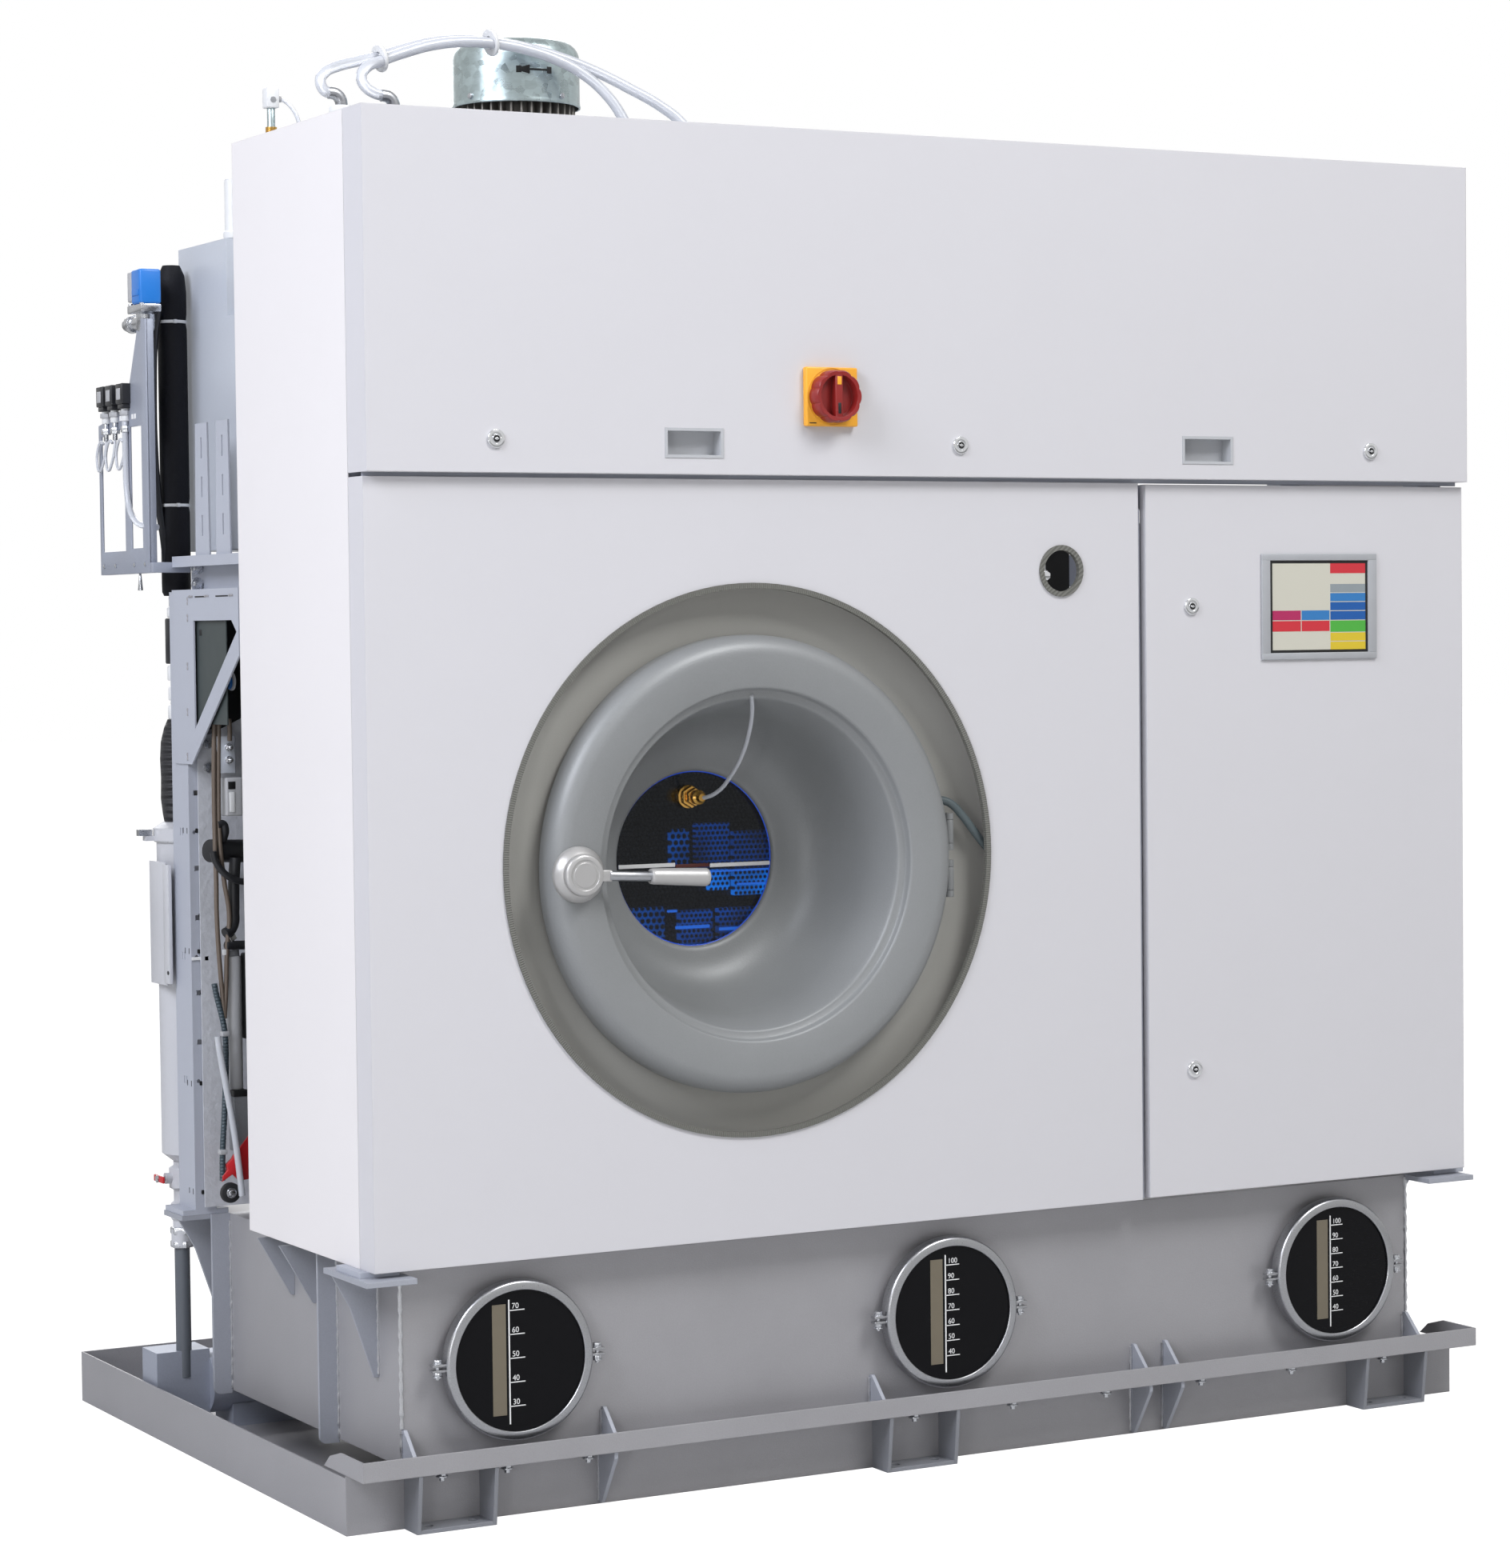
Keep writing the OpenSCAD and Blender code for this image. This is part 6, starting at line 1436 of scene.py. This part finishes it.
    def hoses(self) -> None:
        """Makes the two clear hoses with ties and elbows, and the air cylinder."""
        hoses = Piece("clear_top_hoses", "clear_hose", "white_plastic", "steel", "grey_plastic",
                      "galvanised", "brass")
        for route in (self.long_hose, self.short_hose):
            hoses.hose(route, 8.0, 0, 4)
        for at in self.ties:
            hoses.turned([(10, -2.5), (19.5, -2.5), (20.5, 0), (19.5, 2.5), (10, 2.5)], at,
                         Vector((1, 0.1, 0.25)).normalized(), 1, 20, True)
        for at in self.elbows:
            self.elbow(hoses, at)
        hoses.turned([(9, 2027), (17, 2027), (18, 2029), (18, 2038), (16.5, 2040), (9, 2040)],
                     (*self.elbows[0][:2], 0), Axis.Z, 1, 40, True)
        self.air_cylinder(hoses)
        hoses.done("machine", ("top_hoses",))

    def build(self) -> None:
        """Builds what stands on top."""
        dress("duct_grey", "fan_housing")
        dress("steel", "fan_impeller")
        self.motor()
        self.cowl()
        self.hoses()


# ---- Left rear ----


@dataclass
class SidePipes:
    """Filter, insulated pipe, valve and solenoid bracket beside the cabinet."""

    pipe: tuple = (-925, 242, 0)
    foam_outline: tuple = (
        (0, 1352), (20, 1352), (23, 1358), (23.4, 1372), (23.4, 1486), (21.5, 1497), (23.4, 1508),
        (23.4, 1778), (21.5, 1790), (23.4, 1802), (23.4, 1838), (21, 1864), (14, 1880), (0, 1880))
    foot_outline: tuple = ((0, 989.3), (26, 989.3), (28, 1000), (31, 1026), (30.2, 1060),
                           (31.2, 1090), (29.5, 1118), (24, 1140), (18, 1154), (0, 1154))
    ties: tuple = (1497, 1790)
    cable: tuple = ((-948, 236, 1815), (-958, 232, 1770), (-963, 231, 1680), (-962, 232, 1580),
                    (-955, 236, 1500), (-946, 238, 1440), (-940, 240, 1372))
    couplings: tuple = ((1154, 1176, 17, 1), (1176, 1184, 13, 1), (1184, 1206, 16, 1),
                        (1206, 1216, 12, 1), (1216, 1240, 17, 1), (1243, 1316, 19.5, 2),
                        (1317, 1334, 16, 1), (1334, 1352, 13, 1))
    vessel_axis: tuple = (-905, 242, 0)
    drain: tuple = (-935, 242)
    plate_outline: tuple = ((404, 1388), (173, 1388), (173, 1789), (204, 1792), (272, 1650),
                            (404, 1631))
    plate_windows: tuple = (((282, 1425), (392, 1425), (392, 1612), (282, 1622)),
                            ((201, 1428), (254, 1428), (254, 1622), (201, 1622)))
    plate_bolts: tuple = (190, 240, 330, 385)
    valve_x: float = -999.0
    solenoids: tuple = (355, 312, 262)
    loop: tuple = ((0, 0, 1606), (-2, -1, 1588), (-4, 8, 1566), (-4, 24, 1556), (-3, 38, 1572),
                   (-2, 36, 1592), (-1, 22, 1604), (0, 14, 1600))
    marks: tuple = (340, 326, 297, 283, 240, 228)
    cap: tuple = (-983, 204)
    air_tube: tuple = (
        (-1000, 262, 1632), (-1000, 262, 1600), (-1000, 262, 1560), (-1000, 258, 1520),
        (-1000, 246, 1490), (-998, 222, 1470), (-990, 195, 1462), (-978, 178.5, 1460))
    vent_axis: tuple = (-877, 90, 0)
    vent_outline: tuple = ((12.1, 1911), (14.6, 1911), (15.2, 1914), (15.2, 1921), (12.8, 1923),
                           (12.8, 2002), (9.4, 2002.9), (9.2, 1999), (12.1, 1999))

    def vent(self) -> None:
        """Sleeves the vent pipe on the upper air box in white plastic."""
        vent = Piece("vent_sleeve", "white_plastic")
        vent.turned(self.vent_outline, self.vent_axis, Axis.Z, 0, 48, True)
        vent.done("machine")

    def filter_column(self) -> None:
        """Makes the couplings, ties and cable of the insulated pipe."""
        column = Piece("insulated_column", "foam", "white_plastic", "black_plastic", "wrapped")
        column.turned(self.foam_outline, self.pipe, Axis.Z, 0, 40)
        x, y, _ = self.pipe
        for z in self.ties:
            column.turned([(21.2, z - 2.4), (23.2, z - 2.4), (23.8, z), (23.2, z + 2.4),
                           (21.2, z + 2.4)], self.pipe, Axis.Z, 1, 40, True)
            column.slab((x - 6, y - 26, z - 3), (x, y - 20, z + 3), 1, 1)
        column.hose(self.cable, 6.5, 2)
        for low, top, r, kind in self.couplings:
            column.turned([(0, low), (r - 1.5, low), (r, low + 2), (r, top - 2), (r - 1.5, top),
                           (0, top)], self.pipe, Axis.Z, kind, 32)
        column.turned(self.foot_outline, self.pipe, Axis.Z, 3)
        column.done("machine", ("insulated_pipe",))

    def vessel(self) -> None:
        """Adds the clamp ring, level gauge, label plate and drain to the filter vessel."""
        parts = Piece("filter_fittings", "zinc", "dark", "steel", "vessel_grey", "hose_grey")
        parts.turned([(58.4, 958), (61.4, 957), (62.4, 960), (62.4, 977), (61.4, 980), (58.4, 979)],
                     self.vessel_axis, Axis.Z, 0, 72, True)
        parts.slab((-972.5, 188, 730), (-969.5, 262, 927), 3, 1.0)
        parts.slab((-976.5, 166, 734), (-969.5, 190, 924), 3, 1.5)
        parts.rod((-977.5, 170, 752), (-976, 170, 752), 3.2, 1, 20)
        parts.rod((*self.drain, 90), (*self.drain, 299), 12.4, 4, 40)
        for z in (300, 322):
            parts.nut((*self.drain, z), Axis.Z, 19, 12)
        parts.done("machine")

    def bracket(self) -> None:
        """Makes the windowed bracket plate with its folded edges."""
        plate = Piece("valve_bracket_plate", "silver_dark", "zinc")
        plate.prism(self.plate_outline, (-995, 0, 0), Axis.X, 3, 0, 0.5, self.plate_windows)
        for low, high in (((-994, 173, 1388), (-981.5, 404, 1390.6)),
                          ((-994, 173, 1390), (-981.5, 175.6, 1789)),
                          ((-994, 160.5, 1388), (-931, 172.5, 1404.5))):
            plate.slab(low, high, 0, 0.8)
        for y in self.plate_bolts:
            plate.nut((-995, y, 1402), Axis.LEFT, 3.4, 2.2, 1)
        plate.done("machine", ("valve_bracket",))

    def solenoid(self, valves: Piece, y: float) -> None:
        """Adds a solenoid valve with its nuts and looped tube."""
        x = self.valve_x
        valves.slab((x - 11.5, y - 15, 1659), (x + 15, y + 15, 1692), 0, 2.5, 3)
        valves.slab((x - 9, y - 12, 1652), (x + 11, y + 12, 1659), 0, 1)
        valves.slab((x - 11.9, y - 9, 1666), (x - 11.2, y + 9, 1684), 6, 0.2)
        valves.rod((x, y, 1632), (x, y, 1652), 6.5, 3, 24, 1)
        valves.nut((x, y, 1641), Axis.Z, 9.5, 8, 6)
        valves.nut((x, y, 1614), Axis.Z, 8, 10, 2)
        valves.rod((x, y, 1604), (x, y, 1634), 4, 2, 20, 0.6)
        valves.hose([(x + out, y + along, z) for out, along, z in self.loop], 2.3, 4)

    def cap_valve(self, valves: Piece) -> None:
        """Adds the blue-capped valve with its pipe stubs."""
        valves.slab((-1003, 173, 1813), (-967, 214, 1868), 1, 4, 3)
        valves.slab((-1002, 214, 1818), (-968, 235, 1866), 6, 3, 3)
        valves.slab((-1004.4, 178, 1826), (-1002.6, 208, 1836), 1, 0.6)
        valves.slab((-1002, 171, 1800), (-968, 237, 1813), 2, 2)
        for y in (178, 230):
            valves.rod((-998, y, 1810), (-998, y, 1816), 4, 2, 20, 0.8)
        x, y = self.cap
        valves.turned([(0, 1772), (13, 1772), (15, 1775), (15, 1798), (18, 1800), (0, 1800)],
                      (x, y, 0), Axis.Z, 2, 32)
        valves.rod((x, y, 1787), (x, 288, 1787), 10.5, 2, 24, 1)
        valves.turned([(10, 252), (14, 253), (15, 258), (15, 268), (13, 272), (10, 272)],
                      (x, 0, 1787), Axis.Y, 2, 32, True)

    def valves(self) -> None:
        """Makes the solenoid valves, blue cap valve, fittings and small air tubes."""
        valves = Piece("pilot_valves", "black_plastic", "blue", "zinc", "white_plastic",
                       "clear_hose", "ink_white", "grey_plastic")
        for y in self.solenoids:
            self.solenoid(valves, y)
        for y in self.marks:
            valves.slab((-995.6, y - 4, 1634), (-994.8, y + 4, 1642), 5, 0.2)
        self.cap_valve(valves)
        valves.rod((-988, 236, 1361), (-988, 236, 1388), 4.2, 2, 20, 0.6, 1.8)
        valves.hose(self.air_tube, 5.0, 4)
        valves.done("machine")

    def ball_valve(self) -> None:
        """Makes the red lever handle of the ball valve."""
        lever = Piece("ball_valve_lever", "red", "zinc")
        lever.slab((-974, 221, 408.5), (-969.5, 263, 419.5), 0, 1.4)
        lever.rod((-976, 242, 414), (-950, 242, 414), 3.9, 1, 16, 0.4)
        lever.nut((-973.8, 242, 414), Axis.LEFT, 6, 3.5, 1)
        lever.done("valve_lever", ("valve_handle",))

    def build(self) -> None:
        """Dresses the side pipes."""
        self.vent()
        dress("vessel_grey", "filter_vessel")
        dress("zinc", "clamp_lever")
        dress("duct_grey", "air_ducts")
        self.filter_column()
        self.vessel()
        self.bracket()
        self.valves()
        self.ball_valve()


@dataclass
class WiringBay:
    """Pipes, wires and brackets in the open bay behind the left side panel.

    The routes of its tubes run in front of the bay's face: their y is counted from it.
    """

    face: float = 20.0
    wall_outline: tuple = ((-948, 384), (-832, 384), (-832, 1176), (-926, 1132), (-948, 1132))
    routes: tuple = (
        (3.7, 0, 3, ((-949, 0, 1150), (-951, 0, 1060), (-951, 0, 980), (-950, 0, 907),
                     (-950, 0, 852), (-948, 0, 800), (-944, 0, 740), (-940, 0, 690))),
        (3.7, 0, 3, ((-941.5, 0, 1150), (-943.5, 0, 1060), (-943.5, 0, 980), (-937.3, 0, 907),
                     (-929.5, 0, 852), (-934, 0, 800), (-936.5, 0, 740), (-940, 0, 690))),
        (3.7, 0, 3, ((-929, -12, 1158), (-928, -12, 1140), (-927, -8, 1124))),
        (5.2, 2, 3, ((-931, 4, 1203), (-934, 8, 1185), (-938, 12, 1150), (-941, 14, 1118))),
        (6.5, 1, 3, ((-946, 0, 993), (-938, 0, 994), (-934, 0, 985), (-934, 10, 968))),
        (5.4, 1, 3, ((-958, -10, 952), (-954, -10, 936), (-940, -12, 917), (-921, -12, 906),
                     (-900, -10, 902))),
        (9.0, 1, 4, ((-914, 10, 940), (-917, 10, 900), (-918, 10, 858), (-920, 8, 836),
                     (-928, 4, 826), (-936, 2, 822))),
        (4.6, 4, 3, ((-956, 0, 745), (-953, 0, 728), (-945, 0, 696), (-940, 0, 668),
                     (-939, 0, 620), (-943, 0, 540), (-947, 0, 480), (-948, 0, 436))),
        (5.2, 3, 3, ((-958, -16, 664), (-955, -16, 640), (-946, -16, 588), (-936, -16, 530),
                     (-928, -16, 470), (-922, -16, 412))))
    clips: tuple = ((666, -940), (481, -947))
    lever_outline: tuple = (
        (-898, 512), (-898, 436), (-922, 434), (-932, 445), (-950, 434), (-950, 444), (-941, 452),
        (-943, 461), (-934, 468), (-930, 474))

    def back_walls(self) -> None:
        """Closes the bay: near-black upper and side walls are painted shade of the machine's dark
        inside; the lower wall is speckled.
        """
        walls = Piece("bay_baffles", "dark", "speckled")
        walls.slab((-950, 99, 1140), (-832, 102, 1356), 0, 0.8)
        walls.prism(self.wall_outline, (0, 101, 0), Axis.FRONT, 2.5, 1)
        walls.slab((-834, 20, 384), (-831, 102, 1356), 0, 0.8)
        walls.done("machine")

    def bracket(self) -> None:
        """Makes the bolted bracket and the rounded strap on the column."""
        f = self.face
        part = Piece("bay_bracket", "duct_grey", "zinc", "cast", "chrome")
        part.slab((-946, f - 2, 1073), (-915, f, 1131), 0, 0.9)
        part.slab((-917.5, f - 2, 1073), (-915, f + 30, 1131), 0, 0.9)
        for z in (1113.5, 1093.5):
            part.rod((-927, f - 1, z), (-927, f - 6, z), 6.2, 1, 24, 0.6)
            part.nut((-927, f - 6, z), Axis.FRONT, 5.2, 5, 3)
            part.rod((-927, f - 4, z), (-927, f - 17, z), 2.6, 3, 16, 0.4)
        part.prism([(-918, 1196), (-946, 1170), *arc((-932, 1066), 14, 180, 360, 9)], (0, 103.6, 0),
                   Axis.FRONT, 3.0, 2, 0.6)
        for z in (1117, 1079):
            part.rod((-931, 100.7, z), (-931, 98.6, z), 11.5, 2, 32, 0.6)
            part.nut((-931, 98.8, z), Axis.FRONT, 8.5, 5.5, 1)
        part.done("machine")

    def tubes(self) -> None:
        """Runs the brown, black, blue and clear tubes and the corrugated conduit."""
        f = self.face
        tubes = Piece("bay_tubes", "copper_brown", "pipe_black", "motor_blue", "clear_hose",
                      "conduit", "grey_plastic")
        for radius, finish, sides, route in self.routes:
            tubes.hose([(x, f + y, z) for x, y, z in route], radius, finish, sides)
        tubes.rod((-956, f + 14, 952), (-880, f + 40, 948), 18, 1, 32, 2)
        tubes.rod((-936, f, 804), (-890, f + 10, 802), 7, 1, 24, 1)
        for z, x in self.clips:
            tubes.slab((x - 6, f - 6.5, z - 4), (x + 6, f + 6, z + 4), 5, 1.2)
        tubes.done("machine")

    def upper_fittings(self, part: Piece) -> None:
        """Adds the round gauge, the terminal box and the pipe nut."""
        f = self.face
        part.rod((-927, 6, 1216), (-922, 6, 1216), 14.2, 0, 40, 1)
        part.rod((-932, 6, 1216), (-927, 6, 1216), 12.2, 4, 40, 1)
        part.slab((-933, f - 6, 1006), (-906, f + 20, 1066), 2, 2.5, 3)
        part.slab((-930, f - 7, 1048), (-918, f - 5, 1060), 1, 0.8)
        part.slab((-929, f - 7.5, 1012), (-919, f - 5, 1044), 0, 2.0, 3)
        part.rod((-930, f + 2, 812), (-920, f + 4, 818), 6.5, 7, 6, 0.8)
        part.slab((-942.5, f - 3, 789), (-935.5, f, 798), 0, 0.8)

    def lower_fittings(self, part: Piece) -> None:
        """Adds the separator, the pump head, the red lever and the black wheel."""
        f = self.face
        part.rod((-919, f + 16, 576), (-919, f + 16, 786), 13.5, 2, 40, 2)
        part.rod((-919, f + 16, 783), (-919, f + 16, 795), 10.5, 8, 32, 1)
        part.slab((-905, f - 5, 655), (-895, f + 20, 790), 1, 3)
        part.slab((-927, f - 2, 480), (-903, f + 24, 566), 8, 2)
        part.slab((-928, f - 3, 566), (-903, f + 25, 576), 1, 1.5)
        part.prism(self.lever_outline, (0, f + 4, 0), Axis.FRONT, 9, 5, 1.6)
        part.rod((-938, f - 2, 417), (-938, f - 12, 417), 16, 6, 48, 2)
        part.rod((-938, f - 11, 417), (-938, f - 14, 417), 8, 3, 32, 0.8)
        part.nut((-938, f - 14, 417), Axis.FRONT, 5.5, 5, 7)
        part.slab((-962, 101.5, 776), (-928, 103.6, 781), 0, 0.8)
        part.slab((-943, 98.5, 773.5), (-934, 103, 783), 0, 1.5)

    def fittings(self) -> None:
        """Makes the small boxes, valves and the red lever."""
        part = Piece("bay_fittings", "white_plastic", "dark", "grey_plastic", "zinc", "blue", "red",
                     "black_rubber", "chrome", "cast")
        self.upper_fittings(part)
        self.lower_fittings(part)
        part.done("machine")

    def build(self) -> None:
        """Fills the bay."""
        self.back_walls()
        self.bracket()
        self.tubes()
        self.fittings()


@dataclass
class RearUnits:
    """Still and pump in the rear of the tray."""

    def build(self) -> None:
        """Dresses the rear units."""
        dress("steel", "solvent_still")
        dress("silver_dark", "solvent_pump")


def main() -> None:
    """Builds the stage and every sub-assembly."""
    logging.basicConfig(level=logging.INFO, format="%(message)s")
    for part in (Stage(), Base(), SightGlasses(), Cabinet(), MainSwitch(), ControlScreen(),
                 LoadingDoor(), DrumUnit(), TopOfMachine(), SidePipes(), WiringBay(), RearUnits()):
        part.build()


if __name__ == "__main__":
    main()
